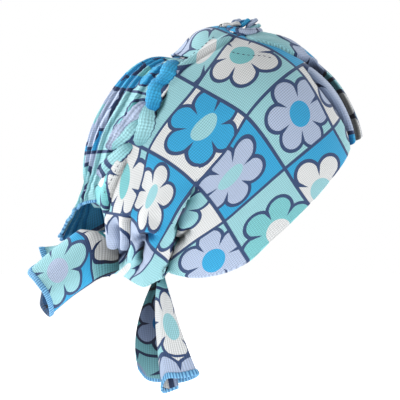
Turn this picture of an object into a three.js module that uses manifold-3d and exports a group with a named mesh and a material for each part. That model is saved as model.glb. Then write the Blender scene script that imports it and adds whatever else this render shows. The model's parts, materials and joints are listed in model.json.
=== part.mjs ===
// A soft pre-tied head wrap: a stretch-knit crown, a full back panel and two tie tails.
// Sizes are millimetres. +Z is up, +X is the wearer's front and -Y is the wearer's right.
// The origin is the inside of the crown's top, where the wrap rests on the head.
import * as THREE from 'three';
import { mergeVertices } from 'three/addons/utils/BufferGeometryUtils.js';
import Module from 'manifold-3d';

const wasm = await Module();
wasm.setup();

// Cloth and clearances
const WALL = 2.2;
const TAIL_WALL = 1.5;
const HEM_WALL = 2.5;
const GAP = 0.45;
const HEM_GAP = 1.4;

// The head form: distance of the cloth from a centre inside the head, by the angle down from the top
const CENTRE_Z = -98;
const HEAD_FORM = [
  { down: 0, front: 100.2, side: 100.2, back: 100.2 },
  { down: 12, front: 96.5, side: 97.8, back: 106.3 },
  { down: 25, front: 92.4, side: 95.3, back: 108.5 },
  { down: 40, front: 89, side: 91, back: 103.5 },
  { down: 55, front: 90.5, side: 86, back: 118.5 },
  { down: 70, front: 92, side: 81.3, back: 127.5 },
  { down: 85, front: 95, side: 78.2, back: 137 },
  { down: 100, front: 97, side: 79, back: 145 },
  { down: 115, front: 99, side: 84, back: 148 },
  { down: 130, front: 103, side: 95.5, back: 147 },
  { down: 145, front: 109, side: 116, back: 154 },
  { down: 160, front: 115, side: 141, back: 164 },
];

// The rim: how far down the cloth reaches, by the angle round from the front
const RIM = [
  { round: 0, down: 85.5 },
  { round: 15, down: 90.5 },
  { round: 30, down: 105 },
  { round: 45, down: 120.8 },
  { round: 60, down: 132.5 },
  { round: 75, down: 140.3 },
  { round: 90, down: 147 },
  { round: 105, down: 149.8 },
  { round: 120, down: 150.2 },
  { round: 135, down: 148.5 },
  { round: 150, down: 144 },
  { round: 165, down: 141 },
  { round: 180, down: 133 },
];

// The outermost front pleat, by the share of the way from the top to the rim
const PLEAT_EDGE = [
  { share: 0, round: 60 },
  { share: 0.15, round: 52 },
  { share: 0.3, round: 45 },
  { share: 0.45, round: 39 },
  { share: 0.75, round: 25 },
  { share: 1, round: 20 },
];
const PLEAT_HEIGHT = 4.2;
const PLEATS_PER_SIDE = 2.5;

// The seam between crown and back panel, by the angle down from the top
const SEAM = [
  { down: 38, round: 141 },
  { down: 55, round: 145 },
  { down: 70, round: 148 },
  { down: 83, round: 152.5 },
  { down: 93, round: 157 },
  { down: 103, round: 161 },
  { down: 118, round: 166 },
];
const WINDOW_TOP = 41;
const WINDOW_BOTTOM = 114;

// The nape gathers, which start at an oblique tuck and close towards the rim
const TUCK_HIGH = { down: 114, round: 123 };
const TUCK_LOW = { down: 142.8, round: 153 };
const GATHERS_PER_SIDE = 4;
const GATHER_HEIGHT = 4.5;
const POUCH_DEPTH = 9;
const TUCK_STEP = 2.5;

// The back panel's tucked edge and its flap
const EDGE_OVERLAP = 5;
const EDGE_UNDER = 3.6;
const DRAPE_TOP = 37.5;
const FLAP_START = 103;
const FLAP_TIP = 115.5;
const FLAP_CORNER = 109.5;
const FLAP_FLARE = 35;
const DRAPE_FOLDS = 3;
const DRAPE_FOLD_HEIGHT = 2.2;
const FLAP_HEM = 4;
const FLAP_HEM_SPAN = 0.78;

// The shirred seam edges
const RUFFLE_HALF_WIDTH = { top: 9, bottom: 5.5 };
const RUFFLE_HEIGHT = { top: 5.5, bottom: 2 };
const RUFFLE_PUFFS = 7;

// The top knot
const BAND_REACH_X = 14;
const BAND_REACH_Y = 18;
const BAND_TUBE = 4.2;
const TUFT_REACH = 9.5;
const TUFT_HEIGHT = 10.5;
const TUFT_LOBES = 7;

// The nape knot
const NAPE_KNOT = { x: -139, y: -2, z: -197, reach_x: 12, reach_y: 20.6, reach_z: 17.5 };
const NAPE_KNOT_RIBS = 5;

// Each row is a line along a tail, from the gathered root over the middle to the hemmed end
const TAIL_OUTER = [
  { root: [-146, 10, -181], middle: [-163, 10, -185], end: [-183, 7, -189] },
  { root: [-150, 0, -180], middle: [-165, 2, -190], end: [-180, 3, -200] },
  { root: [-147, -12, -180], middle: [-167, -9, -195], end: [-194, -7, -212] },
  { root: [-138, -21, -183], middle: [-163, -18, -202], end: [-186, -17, -219] },
  { root: [-134, -24, -193], middle: [-157, -23, -212], end: [-178, -21, -229] },
  { root: [-134, -24, -204], middle: [-154, -22, -223], end: [-174, -17, -239] },
  { root: [-134, -18, -218], middle: [-152, -12, -231], end: [-175, -6, -250] },
  { root: [-147, -8, -218], middle: [-162, -1, -225], end: [-183, 5, -241] },
  { root: [-152, 1, -209], middle: [-166, 6, -215], end: [-181, 10, -228] },
];
const TAIL_HANGING = [
  { root: [-81, -33, -213], middle: [-97, -26, -258], end: [-96, -25, -294] },
  { root: [-80, -32, -213], middle: [-88, -25, -260], end: [-88, -22, -304] },
  { root: [-78.5, -31.5, -213], middle: [-76, -25, -261], end: [-75, -23, -306] },
  { root: [-77, -31, -213], middle: [-66, -27, -262], end: [-60, -25, -306] },
  { root: [-75, -31.5, -213], middle: [-59, -30, -262], end: [-47, -29, -301] },
  { root: [-73.5, -33.5, -213], middle: [-58, -36, -262], end: [-44, -35, -297] },
  { root: [-75, -35.5, -213], middle: [-67, -40, -262], end: [-58, -40, -300] },
  { root: [-77, -36, -213], middle: [-77, -41, -258], end: [-71, -40, -302] },
  { root: [-78.5, -34.5, -213], middle: [-80, -36, -260], end: [-74, -35, -316] },
  { root: [-77, -33.5, -213], middle: [-70, -34, -263], end: [-60, -32, -311] },
];
const TAIL_HEM = 4;

const rad = THREE.MathUtils.degToRad;
const mix = THREE.MathUtils.lerp;
const rise = (from, to, x) => THREE.MathUtils.smoothstep(x, from, to);

// A smooth curve through one column of a table, read at a place along another column
function curve(table, along, column, at) {
  const last = table.length - 1;
  const x = THREE.MathUtils.clamp(at, table[0][along], table[last][along]);
  let i = 0;
  while (i < last - 1 && x > table[i + 1][along]) i += 1;
  const slope = (k) => {
    const a = table[Math.max(k - 1, 0)];
    const b = table[Math.min(k + 1, last)];
    return (b[column] - a[column]) / (b[along] - a[along]);
  };
  const width = table[i + 1][along] - table[i][along];
  const t = (x - table[i][along]) / width;
  const h = 1 - t;
  return table[i][column] * h * h * (1 + 2 * t) + slope(i) * width * t * h * h
    + table[i + 1][column] * t * t * (3 - 2 * t) - slope(i + 1) * width * t * t * h;
}

// Smooth head form, without folds
function headRadius(round, down) {
  const c = Math.cos(rad(round));
  const s = Math.sin(rad(round));
  const lengthwise = curve(HEAD_FORM, 'down', c > 0 ? 'front' : 'back', down);
  const across = curve(HEAD_FORM, 'down', 'side', down);
  return 1 / Math.sqrt((c / lengthwise) ** 2 + (s / across) ** 2);
}

const rimDown = (round) => curve(RIM, 'round', 'down', Math.abs(round));
const seamRound = (down) => curve(SEAM, 'down', 'round', down);

function tuckRound(down) {
  const t = (down - TUCK_HIGH.down) / (TUCK_LOW.down - TUCK_HIGH.down);
  return mix(TUCK_HIGH.round, TUCK_LOW.round, Math.max(t, 0));
}

// Round ridges with sharp creases between them
const ridges = (count, share) => Math.abs(Math.sin(Math.PI * count * share)) ** 0.7;

// The crown's outer surface, with its front pleats and nape gathers
function crownRadius(round, down) {
  const turn = Math.abs(round);
  const share = down / rimDown(round);
  const pleat = turn / curve(PLEAT_EDGE, 'share', 'round', share);
  let radius = headRadius(round, down);
  if (pleat < 1) {
    radius += PLEAT_HEIGHT * ridges(PLEATS_PER_SIDE, pleat + 0.2) * rise(0.1, 0.35, share);
  }
  const tuck = tuckRound(down);
  const gather = (turn - tuck) / (180 - tuck);
  if (gather > 0) {
    const held = rise(111, 127, down);
    radius += held * (GATHER_HEIGHT * ridges(GATHERS_PER_SIDE, gather) + TUCK_STEP);
    radius += POUCH_DEPTH * rise(112, 130, down) * rise(0, 0.4, gather);
  }
  return radius;
}

// A point at a distance from the head centre
function place(round, down, radius) {
  const flat = radius * Math.sin(rad(down));
  return new THREE.Vector3(
    flat * Math.cos(rad(round)), flat * Math.sin(rad(round)), CENTRE_Z + radius * Math.cos(rad(down)),
  );
}

// Move a point straight out until it clears the crown
function clearOfCrown(point) {
  const arm = new THREE.Vector3(point.x, point.y, point.z - CENTRE_Z);
  const round = THREE.MathUtils.radToDeg(Math.atan2(arm.y, arm.x));
  const down = THREE.MathUtils.radToDeg(Math.acos(arm.z / arm.length()));
  const least = crownRadius(round, down) + GAP;
  return place(round, down, Math.max(arm.length(), least));
}

// A closed solid between an outer and an inner grid of points
function gridSolid(rows, columns, outer, inner, closed = false) {
  const points = [];
  const grids = [outer, inner].map((at) => {
    const grid = [];
    for (let i = 0; i <= rows; i += 1) {
      grid.push([]);
      for (let j = 0; j <= columns; j += 1) {
        const from = closed && j === columns ? 0 : j;
        points.push(at(i, from));
        grid[i].push(points.length - 1);
      }
    }
    return grid;
  });
  const faces = [];
  const quad = (a, b, c, d) => faces.push(a, b, c, a, c, d);
  const [top, under] = grids;
  for (let i = 0; i < rows; i += 1) {
    for (let j = 0; j < columns; j += 1) {
      quad(top[i][j], top[i + 1][j], top[i + 1][j + 1], top[i][j + 1]);
      quad(under[i][j], under[i][j + 1], under[i + 1][j + 1], under[i + 1][j]);
    }
  }
  for (let j = 0; j < columns; j += 1) {
    quad(top[0][j], top[0][j + 1], under[0][j + 1], under[0][j]);
    quad(top[rows][j], under[rows][j], under[rows][j + 1], top[rows][j + 1]);
  }
  if (!closed) {
    for (let i = 0; i < rows; i += 1) {
      quad(top[i][0], under[i][0], under[i + 1][0], top[i + 1][0]);
      quad(top[i][columns], top[i + 1][columns], under[i + 1][columns], under[i][columns]);
    }
  }
  return solid(points, faces);
}

// A closed skin over a grid that runs from pole to pole
function poleSolid(rows, columns, at) {
  const points = [];
  const faces = [];
  const index = (i, j) => i * columns + (j % columns);
  for (let i = 0; i <= rows; i += 1) {
    for (let j = 0; j < columns; j += 1) points.push(at(i / rows, j / columns));
  }
  for (let i = 0; i < rows; i += 1) {
    for (let j = 0; j < columns; j += 1) {
      faces.push(index(i, j), index(i + 1, j), index(i + 1, j + 1));
      faces.push(index(i, j), index(i + 1, j + 1), index(i, j + 1));
    }
  }
  return solid(points, faces);
}

// A closed ring skin, round in both directions
function ringSolid(around, tube, at) {
  const points = [];
  const faces = [];
  const index = (i, j) => (i % around) * tube + (j % tube);
  for (let i = 0; i < around; i += 1) {
    for (let j = 0; j < tube; j += 1) points.push(at(i / around, j / tube));
  }
  for (let i = 0; i < around; i += 1) {
    for (let j = 0; j < tube; j += 1) {
      faces.push(index(i, j), index(i + 1, j), index(i + 1, j + 1));
      faces.push(index(i, j), index(i + 1, j + 1), index(i, j + 1));
    }
  }
  return solid(points, faces);
}

// Join equal points, drop flat triangles and hand back a solid that faces out
function solid(points, faces) {
  const geometry = new THREE.BufferGeometry().setFromPoints(points);
  geometry.setIndex(faces);
  const merged = mergeVertices(geometry, 1e-4);
  const index = Array.from(merged.index.array);
  const kept = [];
  for (let k = 0; k < index.length; k += 3) {
    const [a, b, c] = index.slice(k, k + 3);
    if (a !== b && b !== c && c !== a) kept.push(a, b, c);
  }
  const make = (triangles) => new wasm.Manifold(new wasm.Mesh({
    numProp: 3,
    vertProperties: merged.attributes.position.array,
    triVerts: Uint32Array.from(triangles),
  }));
  const body = make(kept);
  if (body.volume() > 0) return body;
  for (let k = 0; k < kept.length; k += 3) [kept[k], kept[k + 1]] = [kept[k + 1], kept[k]];
  return make(kept);
}

const group = new THREE.Group();

function addNode(name, body, colour) {
  const mesh = body.getMesh();
  const geometry = new THREE.BufferGeometry();
  geometry.setAttribute('position', new THREE.BufferAttribute(Float32Array.from(mesh.vertProperties), 3));
  geometry.setIndex(Array.from(mesh.triVerts));
  geometry.computeVertexNormals();
  const node = new THREE.Mesh(geometry, new THREE.MeshStandardMaterial({ color: colour, roughness: 0.9 }));
  node.name = name;
  group.add(node);
}

// Crown: pleated front, smooth sides and gathered nape in one wall
const CROWN_ROWS = 17;
const PLEAT_STEPS = 10;
const SIDE_STEPS = 11;
const GATHER_STEPS = 16;
const HALF_STEPS = PLEAT_STEPS + SIDE_STEPS + GATHER_STEPS;

function crownRound(step, share) {
  const edge = curve(PLEAT_EDGE, 'share', 'round', share);
  if (step <= PLEAT_STEPS) return edge * step / PLEAT_STEPS;
  const tuck = tuckRound(share * rimDown(135));
  if (step <= PLEAT_STEPS + SIDE_STEPS) return mix(edge, tuck, (step - PLEAT_STEPS) / SIDE_STEPS);
  return mix(tuck, 180, (step - PLEAT_STEPS - SIDE_STEPS) / GATHER_STEPS);
}

function crownPoint(row, column, depth) {
  const share = row / CROWN_ROWS;
  const step = column - HALF_STEPS;
  const round = Math.sign(step) * crownRound(Math.abs(step), share);
  const down = share * rimDown(round);
  return place(round, down, crownRadius(round, down) - depth);
}

const crownWhole = gridSolid(
  CROWN_ROWS, 2 * HALF_STEPS,
  (i, j) => crownPoint(i, j, 0), (i, j) => crownPoint(i, j, WALL), true,
);

// The opening in the crown's back, which the back panel fills
const WINDOW_ROWS = 14;
const WINDOW_COLUMNS = 10;

function windowPoint(row, column, radius) {
  const down = mix(WINDOW_TOP, WINDOW_BOTTOM, row / WINDOW_ROWS);
  const half = 180 - seamRound(down);
  return place(180 + half * (2 * column / WINDOW_COLUMNS - 1), down, radius);
}

const windowCutter = gridSolid(
  WINDOW_ROWS, WINDOW_COLUMNS, (i, j) => windowPoint(i, j, 240), (i, j) => windowPoint(i, j, 60),
);
addNode('crown', crownWhole.subtract(windowCutter), 0x8fcfd6);

// Back panel: tucked under the crown at its seams, full in the middle, with a flared flap
const DRAPE_ROWS = 17;
const DRAPE_COLUMNS = 18;

function drapeHalf(down) {
  const flat = headRadius(180, down) * Math.sin(rad(down));
  return 180 - seamRound(down) + THREE.MathUtils.radToDeg(EDGE_OVERLAP / flat);
}

function drapeRadius(round, down) {
  const across = (180 - Math.abs(round)) / drapeHalf(down);
  const ofSeam = (180 - Math.abs(round)) / (180 - seamRound(down));
  const flat = headRadius(180, down) * Math.sin(rad(down));
  const fromSeam = rad(Math.abs(round) - seamRound(down)) * flat;
  const fromTop = rad(down - WINDOW_TOP) * 105;
  const inside = rise(0, 9, Math.min(fromSeam, fromTop));
  const middle = Math.max(1 - ofSeam * ofSeam, 0);
  const flare = Math.max(down - FLAP_START, 0) / (FLAP_TIP - FLAP_START);
  const folds = DRAPE_FOLD_HEIGHT * Math.sin(Math.PI * DRAPE_FOLDS * across) ** 2;
  return headRadius(round, Math.min(down, FLAP_START + 4)) - EDGE_UNDER * (1 - inside)
    + folds * inside * rise(48, 60, down) + FLAP_FLARE * flare ** 1.6 * middle;
}

function drapePoint(share, across, depth) {
  const end = mix(FLAP_TIP, FLAP_CORNER, Math.abs(across) ** 1.4);
  const down = mix(DRAPE_TOP, end, share);
  const round = 180 - drapeHalf(down) * across;
  const signed = round > 180 ? round - 360 : round;
  return place(signed, down, drapeRadius(signed, down) - depth);
}

const drapeAcross = (column) => 2 * column / DRAPE_COLUMNS - 1;
addNode('back_drape', gridSolid(
  DRAPE_ROWS, DRAPE_COLUMNS,
  (i, j) => drapePoint(i / DRAPE_ROWS, drapeAcross(j), 0),
  (i, j) => drapePoint(i / DRAPE_ROWS, drapeAcross(j), WALL),
), 0x4fa7d8);

// Flap hem: a thicker edge that carries on from the flap
function flapHemPoint(row, column, lift) {
  const across = drapeAcross(column) * FLAP_HEM_SPAN;
  const edge = drapePoint(1, across, WALL / 2);
  const before = drapePoint(0.95, across, WALL / 2);
  const along = edge.clone().sub(before).normalize();
  const out = edge.clone().sub(new THREE.Vector3(0, 0, CENTRE_Z)).normalize();
  const side = out.addScaledVector(along, -out.dot(along)).normalize();
  return edge.addScaledVector(along, HEM_GAP + row * FLAP_HEM).addScaledVector(side, lift);
}

addNode('flap_hem', gridSolid(
  1, DRAPE_COLUMNS, (i, j) => flapHemPoint(i, j, HEM_WALL / 2), (i, j) => flapHemPoint(i, j, -HEM_WALL / 2),
), 0x3a8fd0);

// Shirred seam edges: a row of puffs over each seam
const RUFFLE_ROWS = 27;
const RUFFLE_COLUMNS = 6;

function rufflePoint(side, row, column, top) {
  const share = row / RUFFLE_ROWS;
  const down = mix(WINDOW_TOP + 2, WINDOW_BOTTOM - 6, share);
  const seam = seamRound(down);
  const flat = headRadius(seam, down) * Math.sin(rad(down));
  const across = 2 * column / RUFFLE_COLUMNS - 1;
  const puff = 0.6 + 0.4 * ridges(RUFFLE_PUFFS, share ** 0.8);
  const width = mix(RUFFLE_HALF_WIDTH.top, RUFFLE_HALF_WIDTH.bottom, share) * (0.5 + 0.5 * puff);
  const height = mix(RUFFLE_HEIGHT.top, RUFFLE_HEIGHT.bottom, share) * puff;
  const round = side * (seam + THREE.MathUtils.radToDeg(across * width / flat));
  const lift = top ? 1 + height * Math.sqrt(1 - across * across) : 0;
  const base = Math.max(crownRadius(round, down), drapeRadius(round, down) + GAP);
  return place(round, down, base + GAP + lift);
}

for (const [name, side] of [['ruffle_right', -1], ['ruffle_left', 1]]) {
  addNode(name, gridSolid(
    RUFFLE_ROWS, RUFFLE_COLUMNS,
    (i, j) => rufflePoint(side, i, j, true), (i, j) => rufflePoint(side, i, j, false),
  ), 0x3f9fd4);
}

// Top knot: a wound band that rests on the crown, and the tuft inside it
const BAND_AROUND = 24;
const BAND_SIDES = 8;

addNode('knot_band', ringSolid(BAND_AROUND, BAND_SIDES, (around, tube) => {
  const turn = 2 * Math.PI * around;
  const roll = 2 * Math.PI * tube + turn;
  const swell = BAND_TUBE * (1 + 0.14 * Math.cos(3 * roll));
  const reach = swell * Math.cos(roll);
  const x = (BAND_REACH_X + reach) * Math.cos(turn) - 2;
  const y = (BAND_REACH_Y + reach) * Math.sin(turn);
  const droop = 0.16 * x + 0.018 * y * y;
  return clearOfCrown(new THREE.Vector3(x, y, 5 - droop + swell * Math.sin(roll)));
}), 0x8f9fd8);

const TUFT_AROUND = 28;
const TUFT_ROWS = 7;

addNode('knot_tuft', poleSolid(TUFT_ROWS, TUFT_AROUND, (up, around) => {
  const turn = 2 * Math.PI * around;
  const lobes = 1 + 0.16 * Math.cos(TUFT_LOBES * turn) * Math.sin(Math.PI * up);
  const reach = TUFT_REACH * lobes * Math.sin(Math.PI * up ** 1.35);
  const height = 3.2 + TUFT_HEIGHT * (1 - Math.cos(Math.PI * up)) / 2;
  return clearOfCrown(new THREE.Vector3(reach * Math.cos(turn) - 2, 0.75 * reach * Math.sin(turn), height));
}), 0x5aa9dc);

// Nape knot: a ribbed lump behind the gathered nape
addNode('nape_knot', poleSolid(14, 22, (up, around) => {
  const turn = 2 * Math.PI * around;
  const tilt = Math.PI * up;
  const rib = 1 + 0.06 * Math.cos(NAPE_KNOT_RIBS * turn + 3 * tilt);
  const flat = Math.sin(tilt) * rib;
  return clearOfCrown(new THREE.Vector3(
    NAPE_KNOT.x + NAPE_KNOT.reach_x * flat * Math.cos(turn),
    NAPE_KNOT.y + NAPE_KNOT.reach_y * flat * Math.sin(turn),
    NAPE_KNOT.z - NAPE_KNOT.reach_z * Math.cos(tilt),
  ));
}), 0xa9aedb);

// Tails: a smooth sheet through the lines of a table, thickened either side
function tailCurves(table) {
  return ['root', 'middle', 'end'].map(
    (key) => new THREE.CatmullRomCurve3(table.map((row) => new THREE.Vector3(...row[key])), false, 'centripetal'),
  );
}

function tailPoint([root, middle, end], share, across) {
  const a = root.getPoint(across);
  const b = middle.getPoint(across);
  const c = end.getPoint(across);
  const point = a.multiplyScalar((1 - share) * (1 - 2 * share));
  point.addScaledVector(b, 4 * share * (1 - share));
  return point.addScaledVector(c, share * (2 * share - 1));
}

function tailSolid(table, from, to, rows, columns, wall) {
  const curves = tailCurves(table);
  const at = (share, across) => tailPoint(curves, share, THREE.MathUtils.clamp(across, 0, 1));
  const lifted = (i, j, lift) => {
    const share = mix(from, to, i / rows);
    const across = j / columns;
    const along = at(share + 0.01, across).sub(at(share - 0.01, across));
    const over = at(share, across + 0.01).sub(at(share, across - 0.01));
    return at(share, across).addScaledVector(along.cross(over).normalize(), lift);
  };
  return gridSolid(rows, columns, (i, j) => lifted(i, j, wall / 2), (i, j) => lifted(i, j, -wall / 2));
}

for (const [name, table, rows, colour] of [
  ['tail_outer', TAIL_OUTER, 9, 0x74c4d6], ['tail_hanging', TAIL_HANGING, 11, 0x6aa6d2],
]) {
  const length = new THREE.Vector3(...table[3].root).distanceTo(new THREE.Vector3(...table[3].end));
  const hem = TAIL_HEM / length;
  const gap = HEM_GAP / length;
  addNode(name, tailSolid(table, 0, 1 - hem - gap, rows, 22, TAIL_WALL), colour);
  addNode(`${name}_hem`, tailSolid(table, 1 - hem, 1, 1, 22, HEM_WALL), 0x3a8fd0);
}

export default group;
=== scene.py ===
# %% [markdown]
# # A pre-tied head wrap in printed knit
# The real object is a soft turban that is sewn ready tied: a stretch-knit crown with pleats at the front,
# a full panel at the back, gathered seams, a small knot on top and two tie ends at the nape.
# This lesson dresses its solid model in Blender. The solids are the fixed frame: they give the places,
# and each piece of cloth made here lies where its solid is and takes its place in the picture.

# %% Load the solid frame
import json
import math

import bpy
import numpy as np
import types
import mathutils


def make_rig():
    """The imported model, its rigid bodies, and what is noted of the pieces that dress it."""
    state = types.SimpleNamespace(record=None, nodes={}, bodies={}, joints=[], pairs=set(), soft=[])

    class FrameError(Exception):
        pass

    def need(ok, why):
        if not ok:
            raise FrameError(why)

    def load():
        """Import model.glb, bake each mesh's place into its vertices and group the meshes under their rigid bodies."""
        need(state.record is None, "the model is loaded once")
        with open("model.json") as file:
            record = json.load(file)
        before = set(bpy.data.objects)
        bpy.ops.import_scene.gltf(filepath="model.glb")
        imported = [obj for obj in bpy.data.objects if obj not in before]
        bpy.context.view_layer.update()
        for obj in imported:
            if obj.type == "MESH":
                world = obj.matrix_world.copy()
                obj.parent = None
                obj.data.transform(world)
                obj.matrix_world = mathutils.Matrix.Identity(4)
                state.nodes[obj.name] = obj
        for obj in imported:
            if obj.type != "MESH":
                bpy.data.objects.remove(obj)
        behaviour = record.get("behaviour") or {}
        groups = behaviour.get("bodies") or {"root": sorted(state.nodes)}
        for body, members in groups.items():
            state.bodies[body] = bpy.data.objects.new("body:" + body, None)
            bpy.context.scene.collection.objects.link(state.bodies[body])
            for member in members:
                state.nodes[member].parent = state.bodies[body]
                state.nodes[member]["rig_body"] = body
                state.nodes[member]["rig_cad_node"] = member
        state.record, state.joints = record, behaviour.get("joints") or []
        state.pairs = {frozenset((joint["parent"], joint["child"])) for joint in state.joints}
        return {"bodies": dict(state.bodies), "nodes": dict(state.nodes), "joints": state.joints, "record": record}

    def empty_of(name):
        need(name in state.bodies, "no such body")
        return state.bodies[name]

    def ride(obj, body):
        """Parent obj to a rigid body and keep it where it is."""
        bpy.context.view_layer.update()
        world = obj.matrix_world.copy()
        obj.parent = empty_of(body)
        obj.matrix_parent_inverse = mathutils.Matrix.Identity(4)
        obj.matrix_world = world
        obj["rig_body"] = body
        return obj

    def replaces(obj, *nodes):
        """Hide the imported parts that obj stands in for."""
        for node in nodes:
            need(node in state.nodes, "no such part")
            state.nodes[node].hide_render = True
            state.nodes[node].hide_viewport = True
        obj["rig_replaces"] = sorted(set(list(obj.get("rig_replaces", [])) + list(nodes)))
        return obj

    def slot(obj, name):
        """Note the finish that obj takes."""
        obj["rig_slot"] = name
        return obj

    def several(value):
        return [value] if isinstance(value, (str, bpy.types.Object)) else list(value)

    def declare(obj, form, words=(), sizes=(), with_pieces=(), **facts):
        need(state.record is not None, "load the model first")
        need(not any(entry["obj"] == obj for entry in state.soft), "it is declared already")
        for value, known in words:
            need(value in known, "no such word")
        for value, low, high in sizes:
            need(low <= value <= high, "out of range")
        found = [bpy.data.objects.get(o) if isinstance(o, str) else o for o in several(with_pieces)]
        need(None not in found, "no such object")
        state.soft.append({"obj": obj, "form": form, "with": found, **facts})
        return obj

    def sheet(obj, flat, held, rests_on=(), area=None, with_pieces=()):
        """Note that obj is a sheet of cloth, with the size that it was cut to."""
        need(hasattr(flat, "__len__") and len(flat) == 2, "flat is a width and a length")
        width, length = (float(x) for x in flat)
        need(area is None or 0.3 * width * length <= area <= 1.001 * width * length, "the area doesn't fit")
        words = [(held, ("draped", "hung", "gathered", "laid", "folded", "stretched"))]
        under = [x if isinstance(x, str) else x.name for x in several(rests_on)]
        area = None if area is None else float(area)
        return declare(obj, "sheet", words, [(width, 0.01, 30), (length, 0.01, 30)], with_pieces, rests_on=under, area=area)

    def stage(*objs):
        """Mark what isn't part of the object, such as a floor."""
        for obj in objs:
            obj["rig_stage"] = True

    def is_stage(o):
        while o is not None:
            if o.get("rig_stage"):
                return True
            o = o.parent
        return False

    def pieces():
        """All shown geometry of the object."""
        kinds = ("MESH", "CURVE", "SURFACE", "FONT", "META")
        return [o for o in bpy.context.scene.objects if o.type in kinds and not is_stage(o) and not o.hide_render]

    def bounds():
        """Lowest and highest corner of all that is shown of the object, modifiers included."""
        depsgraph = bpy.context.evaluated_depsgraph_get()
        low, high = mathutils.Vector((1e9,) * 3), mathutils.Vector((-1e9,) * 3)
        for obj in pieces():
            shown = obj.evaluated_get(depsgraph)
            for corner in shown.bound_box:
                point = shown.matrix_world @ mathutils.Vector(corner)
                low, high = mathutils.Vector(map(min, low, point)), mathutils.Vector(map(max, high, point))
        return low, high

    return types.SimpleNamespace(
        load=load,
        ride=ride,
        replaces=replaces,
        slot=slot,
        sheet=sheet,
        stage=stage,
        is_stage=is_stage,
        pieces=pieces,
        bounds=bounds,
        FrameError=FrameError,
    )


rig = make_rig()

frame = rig.load()
CAD_LOW, CAD_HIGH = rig.bounds()
MM = 0.001
cad_box = [round((top - bottom) / MM) for bottom, top in zip(CAD_LOW, CAD_HIGH)]
print("solids:", len(frame["nodes"]), "box in mm:", cad_box)

# %% [markdown]
# ## Camera
# The picture was taken level, from the wearer's right side and from far off, so a long lens is right:
# it keeps the outline almost free of perspective. The lens follows from the width that the picture shows.

# %% Camera at the picture's angle
VIEW_CENTRE = (-0.0422, -0.1476)
VIEW_WIDTH = 0.352
CAMERA_DISTANCE = 2.0
SENSOR_WIDTH = 36.0

bpy.ops.object.camera_add(
    location=(VIEW_CENTRE[0], -CAMERA_DISTANCE, VIEW_CENTRE[1]), rotation=(math.pi / 2, 0, 0),
)
camera = bpy.context.object
camera.data.sensor_width = SENSOR_WIDTH
camera.data.lens = SENSOR_WIDTH * CAMERA_DISTANCE / VIEW_WIDTH
bpy.context.scene.camera = camera
print("lens in mm:", round(camera.data.lens, 1))

# %% [markdown]
# ## Nodes in code
# The world and every material here is made of nodes. They are easier to read in code when small helpers
# add a node and wire its inputs by name. A number is set on the socket itself, and another node's output
# is linked. In a Mix node each kind of value has sockets of the same names, so they are found by number.

# %% Helpers for nodes
MIX_INPUTS = (0, 6, 7)
MIX_RESULT = 2


def wire(tree, value, socket):
    if isinstance(value, bpy.types.NodeSocket):
        tree.links.new(value, socket)
    else:
        socket.default_value = value


def set_inputs(tree, node, **values):
    for label, value in values.items():
        wire(tree, value, node.inputs[label.replace("_", " ")])


def add_node(tree, kind, **values):
    node = tree.nodes.new("ShaderNode" + kind)
    set_inputs(tree, node, **values)
    return node


def calculate(tree, operation, *values):
    node = add_node(tree, "Math")
    node.operation = operation
    for value, socket in zip(values, node.inputs):
        wire(tree, value, socket)
    return node.outputs[0]


def blend_colour(tree, share, under, over):
    node = add_node(tree, "Mix")
    node.data_type = "RGBA"
    for value, socket in zip((share, under, over), MIX_INPUTS):
        wire(tree, value, node.inputs[socket])
    return node.outputs[MIX_RESULT]


def set_shader(tree, **values):
    set_inputs(tree, tree.nodes["Principled BSDF"], **values)


def new_material(name, **values):
    material = bpy.data.materials.new(name)
    material.use_nodes = True
    set_shader(material.node_tree, **values)
    return material, material.node_tree


print("sockets of a Mix node for colours:", MIX_INPUTS, MIX_RESULT)

# %% [markdown]
# ## Light and floor
# The studio is high key: white all round, one broad light above on the left, a rim light behind that
# washes out the back edge, and two broad ones that fill in the front and the far side. A white world gives
# the soft part of it. The camera sees the world brighter than the cloth does, so the ground stays white
# while the folds keep their shade.

# %% World, lamps and floor
WHITE = (1.0, 1.0, 1.0, 1.0)
WORLD_GLOW = 0.24
FLOOR_HEIGHT = -0.345
FLOOR_SIZE = 8
FLOOR_GLOW = 0.85
PAPER_GREYS = (0.93, 0.97)
LAMPS = [
    {"name": "key", "place": (-0.95, -0.95, 0.95), "size": 0.5, "watts": 7.2},
    {"name": "rim", "place": (-1.25, 0.42, 0.50), "size": 0.6, "watts": 25.0},
    {"name": "fill", "place": (0.95, -0.85, 0.60), "size": 0.8, "watts": 4.0},
    {"name": "far", "place": (1.10, 0.85, 0.55), "size": 0.8, "watts": 12.0},
]

world = bpy.data.worlds.new("white_studio")
bpy.context.scene.world = world
bpy.context.scene.view_settings.view_transform = "Standard"
world.use_nodes = True
tree = world.node_tree
to_camera = add_node(tree, "LightPath").outputs["Is Camera Ray"]
glow = add_node(tree, "MapRange", Value=to_camera, To_Min=WORLD_GLOW, To_Max=1.0)
set_inputs(tree, tree.nodes["Background"], Color=WHITE, Strength=glow.outputs["Result"])

for lamp in LAMPS:
    bpy.ops.object.light_add(type="AREA", location=lamp["place"])
    light = bpy.context.object
    light.name = lamp["name"] + "_lamp"
    light.data.size = lamp["size"]
    light.data.energy = lamp["watts"]
    aim = np.array([VIEW_CENTRE[0], 0, VIEW_CENTRE[1]]) - np.array(lamp["place"])
    light.rotation_euler = (
        math.atan2(math.hypot(aim[0], aim[1]), -aim[2]), 0, math.atan2(aim[1], aim[0]) - math.pi / 2,
    )

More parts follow.
